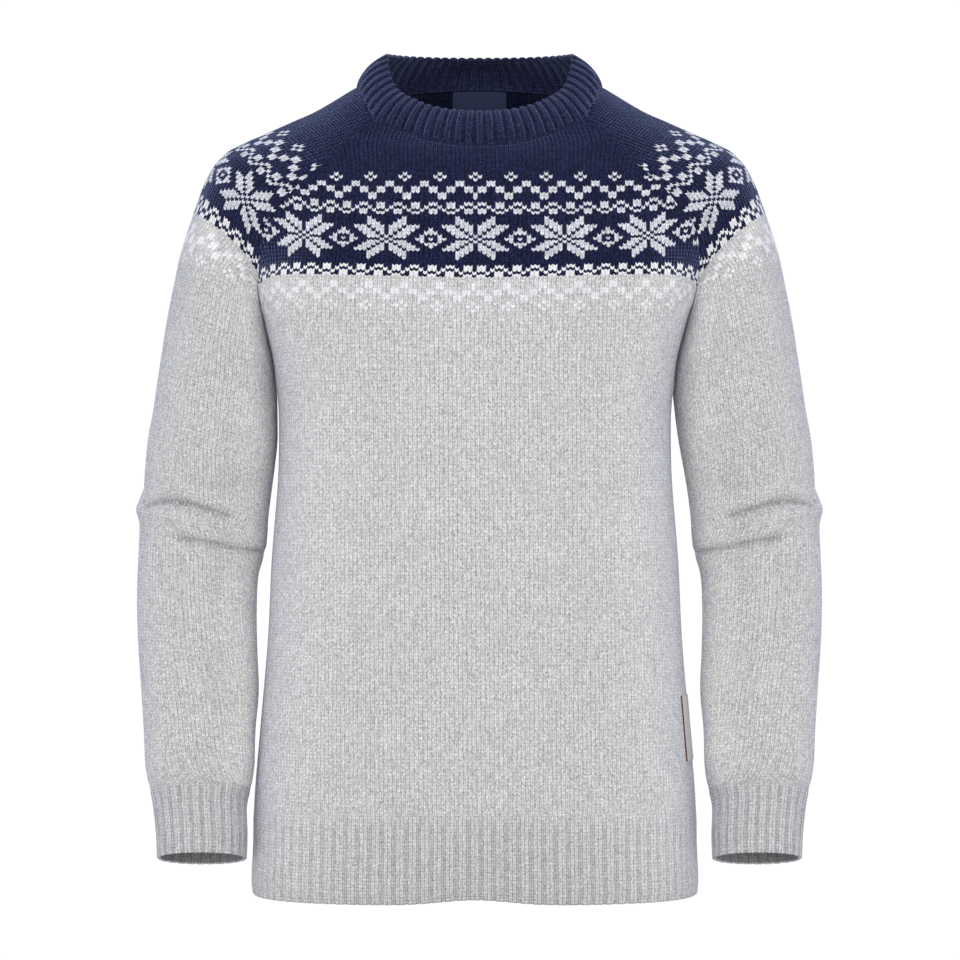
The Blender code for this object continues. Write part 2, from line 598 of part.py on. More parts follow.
def hem_sheet(face):
    """A hem rib, its columns at the ridges and grooves of the ribbing."""
    shares = even_shares(lambda c, t: panel_point(face, c, t), HEM_STATION + 1, 2 * HEM_RIBS)
    sheet = Sheet(len(HEM_ROWS), len(shares))
    for j, station in enumerate(HEM_ROWS):
        for i, c in enumerate(shares):
            t = HEM_STATION + station
            sheet.base[j, i] = panel_point(face, c, t)
            sheet.through[j, i] = unit(panel_normal(face, c, t) * (1.0, 1.0, RIB_PLUMB))
            if j > 0:
                sheet.relief[j, i] = RIB_CREST if i % 2 == 1 else -RIB_GROOVE
        for i in (0, -1):
            sheet.through[j, i] = unit(sheet.through[j, i] * (1.0, 0.0, 0.0))
            sheet.shift[j, i] = (0.0, SEAM_GAP / 2 * face, 0.0)
    return sheet


def cuff_sheet(side):
    """A cuff, closed to a tube, its columns at the ridges and grooves of the ribbing."""
    shares = even_shares(lambda c, t: sleeve_point(side, c, t), CUFF_STATION + 1, 2 * CUFF_RIBS)
    shares = shares[:-1]
    sheet = Sheet(len(CUFF_ROWS), len(shares))
    for j, station in enumerate(CUFF_ROWS):
        for i, c in enumerate(shares):
            t = CUFF_STATION + station
            sheet.base[j, i] = sleeve_point(side, c, t)
            sheet.through[j, i] = sleeve_normal(side, c, t)
            if j > 0:
                sheet.relief[j, i] = RIB_CREST if i % 2 == 1 else -RIB_GROOVE
        ends = sleeve_normal(side, -1.0, CUFF_STATION + station)
        ends = ends + sleeve_normal(side, 1.0, CUFF_STATION + station)
        sheet.through[j, 0] = unit(ends)
    return sheet


def cut_level(points, z):
    """Bring an edge to one level, so that the seam below it is even."""
    points[..., 2] = z
    return points


def cut_slope(points, z, y, slope):
    """Bring an edge of a sleeve to one plane, which rises towards the front."""
    points[..., 2] = z + (y - points[..., 1]) * slope
    return points


# ---------------------------------------------------------------- meshes
def shell(name, outer, inner, tube_from, finish, collection):
    """A closed wall between an outer and an inner grid; rows from tube_from on are rings."""
    rows, columns = outer.shape[:2]
    tube = tube_from == 0
    mesh = bmesh.new()
    grids = []
    for points in (outer, inner):
        grid = []
        for j in range(rows):
            row = [mesh.verts.new(points[j, i] * MM) for i in range(columns)]
            if tube_from is not None and j >= tube_from and not tube:
                mesh.verts.remove(row[-1])
                row[-1] = row[0]
            if tube:
                row.append(row[0])
            grid.append(row)
        grids.append(grid)
    last = columns if tube else columns - 1
    for grid in grids:
        for j in range(rows - 1):
            for i in range(last):
                mesh.faces.new((grid[j][i], grid[j][i + 1], grid[j + 1][i + 1], grid[j + 1][i]))
    out, back = grids
    for j in (0, rows - 1):
        for i in range(last):
            mesh.faces.new((out[j][i], out[j][i + 1], back[j][i + 1], back[j][i]))
    if not tube:
        open_rows = tube_from if tube_from is not None else rows - 1
        for i in (0, last):
            for j in range(open_rows):
                mesh.faces.new((out[j][i], out[j + 1][i], back[j + 1][i], back[j][i]))
    bmesh.ops.recalc_face_normals(mesh, faces=mesh.faces)
    data = bpy.data.meshes.new(name)
    mesh.to_mesh(data)
    mesh.free()
    data.polygons.foreach_set("use_smooth", [True] * len(data.polygons))
    colour, roughness = finish
    material = bpy.data.materials.new(f"{name}_finish")
    material.use_nodes = True
    shader = material.node_tree.nodes["Principled BSDF"]
    shader.inputs["Base Color"].default_value = colour
    shader.inputs["Roughness"].default_value = roughness
    data.materials.append(material)
    collection.objects.link(bpy.data.objects.new(name, data))


def read_grid(grid, c, t):
    """A value of a panel's grid at share c and station t, read between its points."""
    a = (c + 1) / 2 * PANEL_COLUMNS
    i, j = min(int(a), PANEL_COLUMNS - 1), min(int(t), len(grid) - 2)
    f, g = a - i, t - j
    return ((grid[j, i] * (1 - f) + grid[j, i + 1] * f) * (1 - g)
            + (grid[j + 1, i] * (1 - f) + grid[j + 1, i + 1] * f) * g)


def patch(points, normals, columns_at, span, near, far):
    """A label over a panel's own points, as two grids at two distances from them.

    columns_at gives the shares of the label's columns at a station, and span is its first and
    last station.
    """
    stations = [float(t) for t in range(int(span[0]) + 1, int(math.ceil(span[1])))]
    stations = [span[0]] + stations + [span[1]]
    grids = []
    for distance in (far, near):
        rows = []
        for t in stations:
            rows.append([read_grid(points, c, t) + distance * unit(read_grid(normals, c, t))
                         for c in columns_at(t)])
        grids.append(np.array(rows))
    return grids


def station_at(face, c, z):
    """The station at which a panel passes a height."""
    low, high = 0.0, float(BODY_END_STATION)
    for _ in range(SEARCH_STEPS):
        middle = (low + high) / 2
        if panel_point(face, c, middle)[2] > z:
            low = middle
        else:
            high = middle
    return low


def share_at(face, t, x):
    """The share of a panel's course at which it passes an X."""
    low, high = -1.0, 1.0
    for _ in range(SEARCH_STEPS):
        middle = (low + high) / 2
        if panel_point(face, middle, t)[0] < x:
            low = middle
        else:
            high = middle
    return low


def neck_label_columns(t):
    """Shares of the back panel's course at which the neck label's columns lie."""
    left, right = (share_at(BACK, t, x) for x in (-NECK_LABEL_HALF, NECK_LABEL_HALF))
    return np.linspace(left, right, NECK_LABEL_COLUMNS + 1)


def side_label_columns(t):
    """The side label's edges and the front panel's own columns between them."""
    front, back = SIDE_LABEL_SHARES
    shares = np.linspace(-1.0, 1.0, PANEL_COLUMNS + 1)
    return [front] + [c for c in shares if front < c < back] + [back]


def build():
    for thing in list(bpy.data.objects):
        bpy.data.objects.remove(thing, do_unlink=True)
    collection = bpy.data.collections.new("nordic_yoke_sweater")
    bpy.context.scene.collection.children.link(collection)
    grey, navy = (GREY, WOOL_ROUGHNESS), (NAVY, WOOL_ROUGHNESS)
    woven, leather = (LABEL_NAVY, LABEL_ROUGHNESS), (LEATHER, LEATHER_ROUGHNESS)

    sheets = {
        "front_panel": panel_sheet(FRONT), "back_panel": panel_sheet(BACK),
        "sleeve_right": sleeve_sheet(RIGHT), "sleeve_left": sleeve_sheet(LEFT),
    }
    foot, facing, up = set_neckline(sheets)
    seam_z = BODY_TABLE["z"][HEM_TOP]
    for name in ("front_panel", "back_panel"):
        sheet = sheets[name]
        outer, inner = sheet.outer(), sheet.inner(WALL)
        cut_level(outer[-1], seam_z + SEAM_GAP / 2)
        cut_level(inner[-1], seam_z + SEAM_GAP / 2)
        shell(name, outer, inner, None, grey, collection)
    cuff_y, cuff_z = ARM_TABLE["i_y"][CUFF_TOP], ARM_TABLE["i_z"][CUFF_TOP]
    slope = ARM_TABLE["rise"][CUFF_TOP] / HANDLE_TO_BULGE / ARM_TABLE["front"][CUFF_TOP]
    for name in ("sleeve_right", "sleeve_left"):
        sheet = sheets[name]
        outer, inner = sheet.outer(), sheet.inner(WALL)
        cut_slope(outer[-1], cuff_z + SEAM_GAP / 2, cuff_y, slope)
        cut_slope(inner[-1], cuff_z + SEAM_GAP / 2, cuff_y, slope)
        shell(name, outer, inner, UNDERARM, grey, collection)
    for name, side in (("cuff_right", RIGHT), ("cuff_left", LEFT)):
        sheet = cuff_sheet(side)
        outer, inner = sheet.outer(), sheet.inner(WALL)
        cut_slope(outer[0], cuff_z - SEAM_GAP / 2, cuff_y, slope)
        cut_slope(inner[0], cuff_z - SEAM_GAP / 2, cuff_y, slope)
        shell(name, outer, inner, 0, grey, collection)
    for name, face in (("hem_rib_front", FRONT), ("hem_rib_back", BACK)):
        sheet = hem_sheet(face)
        outer, inner = sheet.outer(), sheet.inner(WALL)
        cut_level(outer[0], seam_z - SEAM_GAP / 2)
        cut_level(inner[0], seam_z - SEAM_GAP / 2)
        shell(name, outer, inner, None, grey, collection)
    band = neckband_sheet(foot, facing, up)
    shell("neckband", band.outer(), band.inner(BAND_WALL), 0, navy, collection)

    back = sheets["back_panel"]
    span = (NECK_LABEL_TOP_STATION, station_at(BACK, 0.0, NECK_LABEL_BOTTOM))
    grids = patch(back.inner(WALL), -back.through, neck_label_columns, span,
                  NECK_LABEL_GAP, NECK_LABEL_GAP + NECK_LABEL_THICK)
    shell("neck_label", grids[0], grids[1], None, woven, collection)
    front = sheets["front_panel"]
    span = [station_at(FRONT, SIDE_LABEL_SHARES[1], SIDE_LABEL_TOP - drop)
            for drop in (0.0, SIDE_LABEL_HEIGHT)]
    grids = patch(front.outer(), front.through, side_label_columns, span,
                  SIDE_LABEL_GAP, SIDE_LABEL_GAP + SIDE_LABEL_THICK)
    shell("side_label", grids[0], grids[1], None, leather, collection)


build()
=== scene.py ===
"""A raglan yoke sweater in heather wool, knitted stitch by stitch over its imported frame.

Each piece of the garment is a grid whose lines are the wales and courses of the knitting, so a
motif of the yoke is made of real stitches, and its ribs are real ridges. The form is worked out
from the same tables as the solids. Lengths in the tables are in millimetres and angles in
degrees; MM turns them into the metres of the frame. +X is the wearer's left and -Y the front.
"""

import logging
import math
from dataclasses import dataclass, field
from enum import Enum
from typing import Callable

import bmesh
import bpy
import numpy as np
from mathutils import Matrix, Vector


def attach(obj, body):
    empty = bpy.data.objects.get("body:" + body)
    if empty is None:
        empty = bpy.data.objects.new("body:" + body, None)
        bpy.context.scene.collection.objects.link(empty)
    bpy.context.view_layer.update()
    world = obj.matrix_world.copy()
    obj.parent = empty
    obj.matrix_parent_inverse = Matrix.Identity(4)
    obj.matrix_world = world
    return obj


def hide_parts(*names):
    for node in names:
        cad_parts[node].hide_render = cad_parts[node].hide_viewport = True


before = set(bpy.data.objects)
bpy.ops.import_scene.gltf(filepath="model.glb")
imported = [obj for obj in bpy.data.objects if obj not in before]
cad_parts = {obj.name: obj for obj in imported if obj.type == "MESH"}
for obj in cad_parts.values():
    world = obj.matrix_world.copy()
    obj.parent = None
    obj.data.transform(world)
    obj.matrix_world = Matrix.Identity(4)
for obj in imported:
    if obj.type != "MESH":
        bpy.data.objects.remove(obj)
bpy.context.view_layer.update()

MM = 0.001
BODY = "root"
LOG = logging.getLogger("sweater")
Array = np.ndarray
Material = bpy.types.Material
Socket = bpy.types.NodeSocket
Thing = bpy.types.Object


# ------------------------------------------------------------------ tables and curves
class Table:
    """A short table with named columns, read as smooth curves between its rows."""

    def __init__(self, columns: str, *rows: tuple[float, ...]) -> None:
        """Keep the rows.

        Args:
            columns: The names of the columns, with spaces between them.
            *rows: One tuple of numbers for each station.
        """
        self.names = columns.split()
        self.values = np.array(rows, float)
        ahead = np.diff(self.values, axis=0)
        self.slopes = np.concatenate((ahead[:1], (ahead[1:] + ahead[:-1]) / 2, ahead[-1:]))
        self.last = len(rows) - 1

    def at(self, name: str, t: Array) -> Array:
        """Read one column.

        Args:
            name: The column's name.
            t: Stations, which may lie between two rows.

        Returns:
            The column's values there.
        """
        column = self.names.index(name)
        i = np.clip(np.floor(t).astype(int), 0, self.last - 1)
        f = t - i
        a, b = self.values[i, column], self.values[i + 1, column]
        slope_a, slope_b = self.slopes[i, column], self.slopes[i + 1, column]
        return (a * (2 * f**3 - 3 * f**2 + 1) + slope_a * (f**3 - 2 * f**2 + f)
                + b * (3 * f**2 - 2 * f**3) + slope_b * (f**3 - f**2))

    def point(self, x: str, y: str, z: str, t: Array) -> Array:
        """Read three columns as points."""
        return np.stack((self.at(x, t), self.at(y, t), self.at(z, t)), axis=-1)

    def ending(self, name: str) -> float:
        """One column's value in the last row."""
        return self.values[-1, self.names.index(name)]


def bezier(p0: Array, p1: Array, p2: Array, p3: Array, s: Array) -> Array:
    """Points of cubic curves at shares s of their length."""
    s = s[..., None]
    return (1 - s)**3 * p0 + 3 * s * (1 - s)**2 * p1 + 3 * s**2 * (1 - s) * p2 + s**3 * p3


def unit(v: Array) -> Array:
    """Vectors brought to a length of one."""
    return v / np.maximum(np.linalg.norm(v, axis=-1, keepdims=True), 1e-12)


def dot(a: Array, b: Array) -> Array:
    """Products of vectors, kept as a column."""
    return np.sum(a * b, axis=-1, keepdims=True)


def lengths(points: Array, axis: int = 0) -> Array:
    """Lengths along lines of points, from the start of each."""
    steps = np.linalg.norm(np.diff(points, axis=axis), axis=-1)
    start = np.zeros_like(steps.take([0], axis))
    return np.concatenate((start, np.cumsum(steps, axis=axis)), axis=axis)


def smooth(x: Array | float) -> Array | float:
    """A smooth step from 0 to 1."""
    x = np.clip(x, 0.0, 1.0)
    return x * x * (3 - 2 * x)


class Face(Enum):
    """The front or the back of the garment; its value is the sign of Y there."""

    FRONT = -1
    BACK = 1


class Side(Enum):
    """The wearer's right or left; its value is the sign of X there."""

    RIGHT = -1
    LEFT = 1


# ------------------------------------------------------------------ the garment's form
YOKE_COLUMNS = "c_z c_y s_x s_y s_z turn mid end lean"
YOKES = {
    Face.FRONT: Table(
        YOKE_COLUMNS,
        (-51.0, -80.0, 91.7, -52.0, -28.2, 18, 0.45, 34, 0.0),
        (-58.3, -88.0, 112.5, -61.0, -46.2, 20, 0.46, 40, 0.0),
        (-67.5, -97.0, 129.7, -67.0, -61.4, 20, 0.47, 46, 0.0),
        (-78.3, -105.0, 146.0, -71.0, -74.6, 20, 0.48, 52, 0.0),
        (-89.9, -112.0, 159.8, -73.0, -87.7, 22, 0.50, 56, 0.0),
        (-103.9, -118.0, 171.9, -73.0, -102.5, 26, 0.52, 60, 0.0),
        (-116.1, -123.0, 183.2, -72.0, -115.4, 32, 0.54, 66, 0.0),
        (-131.0, -127.0, 189.4, -68.0, -130.8, 42, 0.56, 72, 0.0),
        (-149.9, -131.0, 191.5, -60.0, -152.1, 58, 0.59, 80, 0.0),
        (-173.0, -134.0, 191.0, -45.0, -176.7, 74, 0.62, 88, -2.0),
        (-199.0, -136.0, 184.5, -27.0, -205.0, 84, 0.65, 96, -3.4),
        (-230.0, -136.5, 177.5, -9.0, -236.0, 88, 0.68, 102, -3.9),
        (-262.0, -136.0, 174.0, 8.0, -266.0, 90, 0.70, 105, -4.0),
    ),
    Face.BACK: Table(
        YOKE_COLUMNS,
        (7.5, 62.0, 78.0, 44.0, 2.0, 30, 0.45, 30, 0.0),
        (-7.0, 73.0, 97.0, 57.0, -14.2, 26, 0.46, 36, 0.0),
        (-21.8, 83.0, 115.0, 66.0, -30.8, 23, 0.47, 42, 0.0),
        (-37.0, 91.0, 132.0, 73.0, -48.0, 22, 0.48, 46, 0.0),
        (-54.0, 98.0, 147.0, 77.0, -66.0, 24, 0.50, 50, 0.0),
        (-73.0, 105.0, 161.0, 79.0, -86.0, 28, 0.52, 54, 0.0),
        (-94.0, 111.0, 173.0, 78.5, -107.0, 33, 0.54, 58, 0.0),
        (-118.0, 116.0, 182.0, 75.0, -130.0, 42, 0.56, 61, 0.0),
        (-145.0, 120.0, 187.5, 68.0, -153.0, 56, 0.59, 64, 0.0),
        (-173.0, 122.0, 188.5, 55.0, -177.0, 72, 0.62, 66, -2.0),
        (-202.0, 122.0, 184.0, 39.0, -206.0, 82, 0.65, 70, -3.4),
        (-232.0, 120.0, 178.0, 23.0, -236.0, 88, 0.68, 76, -3.9),
        (-262.0, 118.0, 174.0, 8.0, -266.0, 90, 0.70, 80, -4.0),
    ),
}
TRUNK = Table(
    "z half front back side",
    (-266.0, 174.0, -136.0, 118.0, 8.0),
    (-290.0, 172.5, -135.0, 117.0, 8.0),
    (-340.0, 173.4, -133.0, 114.0, 8.0),
    (-410.0, 178.9, -131.0, 115.0, 8.0),
    (-480.0, 182.3, -130.0, 118.0, 8.0),
    (-550.0, 188.2, -129.0, 120.0, 8.0),
    (-600.0, 192.6, -129.0, 120.0, 7.0),
    (-628.0, 194.4, -129.0, 119.0, 6.0),
    (-660.0, 194.8, -129.0, 118.0, 6.0),
    (-692.0, 196.2, -128.0, 117.0, 6.0),
    (-705.5, 195.2, -126.0, 115.5, 6.0),
)
CAP = Table(
    "o_x o_y o_z at_seam at_outer press",
    (108.0, -4.0, 4.3, 22, 20, 0.0),
    (142.0, 0.0, -15.8, 27, 26, 0.0),
    (163.5, 2.0, -25.4, 31, 30, 0.0),
    (184.0, 4.0, -34.4, 34, 34, 0.0),
    (203.4, 5.0, -42.8, 36, 38, 0.0),
    (220.3, 5.0, -51.2, 38, 41, 0.0),
    (232.2, 5.0, -62.6, 40, 45, 0.0),
    (241.2, 5.0, -78.2, 42, 49, 0.08),
    (248.6, 5.0, -97.5, 46, 54, 0.25),
    (262.6, 5.0, -140.0, 58, 60, 0.58),
    (268.6, 5.0, -167.0, 80, 65, 0.82),
    (275.2, 6.0, -199.5, 100, 70, 0.95),
    (280.4, 6.0, -232.5, 112, 74, 1.0),
)
ARM = Table(
    "i_x i_y i_z o_x o_y o_z front back rise lean",
    (174.0, 8.0, -266.0, 280.4, 6.0, -232.5, 93, 90, 0.0, -4.0),
    (175.4, 7.0, -290.0, 284.4, 6.5, -258.7, 91, 89, 0.0, -2.4),
    (176.8, 7.0, -308.0, 287.6, 7.0, -280.5, 89, 88, 0.0, -1.2),
    (180.5, 7.5, -333.0, 292.2, 8.0, -305.0, 86, 86, 0.0, -0.3),
    (184.0, 8.5, -356.0, 295.0, 9.0, -333.5, 82, 84, 0.0, 0.0),
    (186.1, 9.5, -373.0, 296.4, 10.0, -351.0, 80, 83, 0.0, 0.0),
    (187.0, 10.0, -388.0, 302.6, 10.5, -366.0, 80, 83, 0.5, 0.0),
    (189.0, 9.5, -403.0, 299.8, 10.0, -381.0, 77, 80, 1.0, 0.0),
    (195.0, 8.0, -427.0, 300.6, 8.5, -406.0, 74, 76, 1.5, 0.0),
    (196.2, 4.5, -457.0, 301.6, 4.5, -441.0, 71, 73, 2.0, 0.0),
    (195.4, -1.5, -491.0, 300.4, -1.0, -481.0, 68, 69, 3.0, 0.0),
    (193.8, -9.0, -526.0, 297.4, -8.5, -520.0, 64, 65, 4.5, 0.0),
    (196.4, -17.5, -560.0, 294.4, -17.0, -558.0, 60, 60, 5.5, 0.0),
    (196.8, -25.0, -588.0, 292.6, -25.0, -588.0, 57, 56, 7.0, 0.0),
    (198.6, -30.0, -604.0, 289.8, -30.0, -604.0, 53, 52, 8.0, 0.0),
    (200.4, -32.0, -611.0, 287.6, -32.0, -611.0, 48, 47, 8.0, 0.0),
    (203.6, -36.0, -626.0, 284.4, -36.0, -626.0, 44, 43, 8.0, 0.0),
    (202.8, -41.0, -649.0, 281.6, -41.0, -649.0, 42, 41, 7.7, 0.0),
    (203.2, -45.5, -670.5, 280.4, -45.5, -670.5, 41, 40, 7.5, 0.0),
)
UNDERARM = 12.0         # station where the raglan seams end
TRUNK_LEAN = -4.0       # the body hangs a little towards the wearer's right
TRUNK_MID = 0.70        # handle of a body course at its middle, share of its half width
TRUNK_END = 0.72        # handle at its side seam, share of its depth
HEM_STATION = UNDERARM + 7
TRUNK_STATION = UNDERARM + TRUNK.last
CUFF_STATION = UNDERARM + 15
ARM_STATION = UNDERARM + ARM.last
HEM_ARCH = 5.0          # how far the hem rises at the middle of the front
HEM_ARCH_BACK = 2.0
HEM_ARCH_WIDTH = 42.0
HEM_CORNER = 1.8        # how far it rises at its side seams
PRESS_OUT = 0.15        # share of outward travel in a course end pressed into the fold
HANDLE_TO_BULGE = 0.75  # a cubic's middle lies at this share of its handles
HANDOVER = 4.0          # stations below the underarm over which the arm's handles take over
CHORD_Y = 0.6           # share of its way in Y with which a cap's course sets out


@dataclass(frozen=True)
class Panel:
    """The surface of the front or the back; c runs from -1, the right seam, to 1, the left."""

    face: Face

    def course(self, side: Array, t: Array) -> tuple[Array, Array, Array, Array]:
        """Handles of the courses at stations t, from the middle of the panel to its seam.

        Args:
            side: The sign of X of each course.
            t: The station of each course.

        Returns:
            The four handles of a cubic curve for each course.
        """
        yoke = YOKES[self.face]
        u = np.clip(t, 0.0, UNDERARM)
        v = np.clip(t - UNDERARM, 0.0, float(TRUNK.last))
        high = t <= UNDERARM
        depth = TRUNK.at("front" if self.face is Face.FRONT else "back", v)
        z, half, edge = TRUNK.at("z", v), TRUNK.at("half", v), TRUNK.at("side", v)
        # Within one station below the underarm, the yoke's last row hands over to the trunk.
        fade = np.clip(t - UNDERARM, 0.0, 1.0)
        hang = z + (yoke.ending("c_z") - TRUNK.values[0, 0]) * (1 - fade)
        lean = np.where(high, yoke.at("lean", u), TRUNK_LEAN)
        middle = np.stack((lean, np.where(high, yoke.at("c_y", u), depth),
                           np.where(high, yoke.at("c_z", u), hang)), axis=-1)
        seam = np.stack((side * np.where(high, yoke.at("s_x", u), half) + lean,
                         np.where(high, yoke.at("s_y", u), edge),
                         np.where(high, yoke.at("s_z", u), z)), axis=-1)
        turn = np.radians(np.where(high, yoke.at("turn", u), 90.0))
        reach = np.where(high, yoke.at("mid", u) * yoke.at("s_x", u), TRUNK_MID * half)
        own_end, last_end = TRUNK_END * np.abs(depth - edge), yoke.ending("end")
        end = np.where(high, yoke.at("end", u), last_end + (own_end - last_end) * fade)
        p1 = middle + np.stack((side * reach, 0 * t, 0 * t), axis=-1)
        p2 = seam - end[:, None] * np.stack(
            (side * np.cos(turn), -self.face.value * np.sin(turn), 0 * t), axis=-1)
        p2[:, 2] = (middle[:, 2] + seam[:, 2]) / 2
        return middle, p1, p2, seam

    def point(self, c: Array, t: Array) -> Array:
        """Points of the panel at shares c of the courses at stations t."""
        side = np.where(c >= 0, 1.0, -1.0)
        points = bezier(*self.course(side, t), np.abs(c))
        share = np.clip((t - HEM_STATION) / (TRUNK_STATION - HEM_STATION), 0.0, 1.0)
        arch = np.exp(-((points[:, 0] - TRUNK_LEAN) / HEM_ARCH_WIDTH)**2)
        rise = HEM_ARCH if self.face is Face.FRONT else HEM_ARCH_BACK
        points[:, 2] += share * (rise * arch + HEM_CORNER * np.abs(c)**3)
        return points

    def seam(self, side: Side, t: Array) -> Array:
        """Points of the raglan seam, and below the underarm of the side seam."""
        return self.course(np.full_like(t, side.value), t)[3]


@dataclass(frozen=True)
class Sleeve:
    """The surface of a sleeve; c runs from -1, in front, over the outer line to 1, behind."""

    side: Side

    def outer(self, t: Array) -> Array:
        """Points of the sleeve's outer line."""
        high = (t <= UNDERARM)[:, None]
        line = np.where(high, CAP.point("o_x", "o_y", "o_z", np.clip(t, 0.0, UNDERARM)),
                        ARM.point("o_x", "o_y", "o_z", np.maximum(t - UNDERARM, 0.0)))
        return line * (self.side.value, 1.0, 1.0)

    def heading(self, face: Face, t: Array, outer: Array) -> Array:
        """The direction in which a course leaves the raglan seam."""
        panel = Panel(face)
        side = np.full_like(t, self.side.value)
        _, _, p2, seam = panel.course(side, t)
        step = 0.02
        run = unit(panel.seam(self.side, np.minimum(t + step, UNDERARM))
                   - panel.seam(self.side, np.maximum(t - step, 0.0)))
        normal = unit(np.cross(unit(seam - p2), run))
        chord = unit(outer - seam) * (1.0, CHORD_Y, 1.0)
        flat = unit(chord - normal * dot(chord, normal))
        pressed = unit(np.array((self.side.value * PRESS_OUT, float(face.value), 0.0)))
        press = CAP.at("press", t)[:, None]
        return unit(flat * (1 - press) + pressed * press)

    def half(self, face: Face, s: Array, t: Array) -> Array:
        """Points of the front or the back half of the courses at stations t."""
        sign = float(face.value)
        outer = self.outer(t)
        u, v = np.clip(t, 0.0, UNDERARM), np.clip(t - UNDERARM, 0.0, float(ARM.last))
        high = t <= UNDERARM
        fade = np.clip((t - UNDERARM) / HANDOVER, 0.0, 1.0)
        seam = Panel(face).seam(self.side, u)
        inner = ARM.point("i_x", "i_y", "i_z", v) * (self.side.value, 1.0, 1.0)
        inner[:, 0] += ARM.at("lean", v)
        start = np.where(high[:, None], seam, inner)
        handle = ARM.at("front" if face is Face.FRONT else "back", v)
        from_seam, to_outer = (
            np.where(high, CAP.at(name, u), CAP.ending(name) * (1 - fade) + handle * fade)
            for name in ("at_seam", "at_outer"))
        straight = unit(np.stack((self.side.value * PRESS_OUT * (1 - fade), sign + 0 * t,
                                  0 * t), axis=-1))
        heading = np.where(high[:, None], self.heading(face, u, outer), straight)
        lift = np.where(high, 0.0, -sign * ARM.at("rise", v)) / HANDLE_TO_BULGE
        lift = np.stack((0 * t, 0 * t, lift), axis=-1)
        p1 = start + from_seam[:, None] * heading + lift
        p2 = outer + np.stack((0 * t, sign * to_outer, 0 * t), axis=-1) + lift
        return bezier(start, p1, p2, outer, s)

    def point(self, c: Array, t: Array) -> Array:
        """Points of the sleeve at shares c of the courses at stations t."""
        s = 1 - np.abs(c)
        front, back = self.half(Face.FRONT, s, t), self.half(Face.BACK, s, t)
        return np.where((c < 0)[:, None], front, back)


Surface = Callable[[Array, Array], Array]


def normals(surface: Surface, c: Array, t: Array, last: float, sign: float) -> Array:
    """Unit normals of a surface.

    Args:
        surface: The surface's function of share and station.
        c: Shares of the courses.
        t: Stations of the courses.
        last: The surface's last station.
        sign: 1, or -1 where the product of its two directions points inwards.

    Returns:
        The outward normals at these places.
    """
    step = 0.01
    across = surface(np.minimum(c + step, 1.0), t) - surface(np.maximum(c - step, -1.0), t)
    down = surface(c, np.minimum(t + step, last)) - surface(c, np.maximum(t - step, 0.0))
    return sign * unit(np.cross(across, down))


# ------------------------------------------------------------------ the knitting
@dataclass(frozen=True)
class Gauge:
    """The size of a stitch, and how far the foot of its V hangs below its arms."""

    wale: float = 3.82
    course: float = 2.77
    yoke_course: float = 2.58
    drop: float = 0.6


class Yarn(Enum):
    """The yarns of the garment; the value is their place on the colour ramp."""

    NAVY = 0.0
    HEATHER = 1.0
    LIGHT = 2.0
    WHITE = 3.0


class Chart:
    """The yoke's chart, repeated round the body; rows are counted from its first dot.

    A border is written as the repeat of each of its rows, and a motif as its rows from one tip
    to its middle. A # is a stitch of the motif's yarn.
    """

    BORDERS = {
        0: "#....... .#.....# #.......",
        3: "...##... ...##... .##..##. .##..##. #......# #......#",
        10: ".##..##. #..#.##. .##.#..# .##..##.",
        32: ".##..##. .##.#..# #..#.##. .##..##.",
        38: "#......# #......# .##..##. .##..##. ...##... ...##...",
        44: "#....... .#.....# #.......",
    }
    STAR = ("...#.......#...", "...##.....##...", "...###...###...", "###.###.###.###",
            ".###.##.##.###.", "..###.#.#.###..", "...###.#.###...", "......#.#......")
    CROSS = ("...#...", "..###..", ".#...#.", "##.#.##")
    STAR_MIDDLE = 22
    STAR_REPEAT = 20
    FIRST_WHITE = 30
    FIRST_GREY = 36

    def __init__(self) -> None:
        """Number the rows of the borders."""
        self.lines = {first + i: line for first, rows in self.BORDERS.items()
                      for i, line in enumerate(rows.split())}

    def motif(self, rows: tuple[str, ...], across: int, up: int) -> bool:
        """One stitch of a motif, counted from the motif's middle."""
        last, middle = len(rows) - 1, len(rows[0]) // 2
        return abs(across) <= middle and up <= last and rows[last - up][across + middle] == "#"

    def yarn(self, column: int, row: int) -> Yarn:
        """The yarn of a stitch.

        Args:
            column: The stitch's wale, counted from the middle of the piece.
            row: Its course, counted down from the first course of the chart.

        Returns:
            The yarn that shows there.
        """
        k, half = abs(column), self.STAR_REPEAT // 2
        up = abs(row - self.STAR_MIDDLE)
        line = self.lines.get(row, ".")
        if (line[k % len(line)] == "#"
                or self.motif(self.STAR, (k + half) % self.STAR_REPEAT - half, up)
                or self.motif(self.CROSS, k % self.STAR_REPEAT - half, up)):
            return Yarn.LIGHT if row < self.FIRST_WHITE else Yarn.WHITE
        return Yarn.NAVY if row < self.FIRST_GREY else Yarn.HEATHER


HARD_CORNER = math.radians(60.0)


def sharpen(mesh: bpy.types.Mesh) -> None:
    """Break the shading at the open edges of a mesh and at its hard corners."""
    mesh.set_sharp_from_angle(angle=HARD_CORNER)
    edges, sharp = np.zeros(len(mesh.loops), np.int32), np.zeros(len(mesh.edges), bool)
    mesh.loops.foreach_get("edge_index", edges)
    mesh.edges.foreach_get("use_edge_sharp", sharp)
    sharp |= np.bincount(edges, minlength=len(sharp)) == 1
    mesh.edges.foreach_set("use_edge_sharp", sharp)


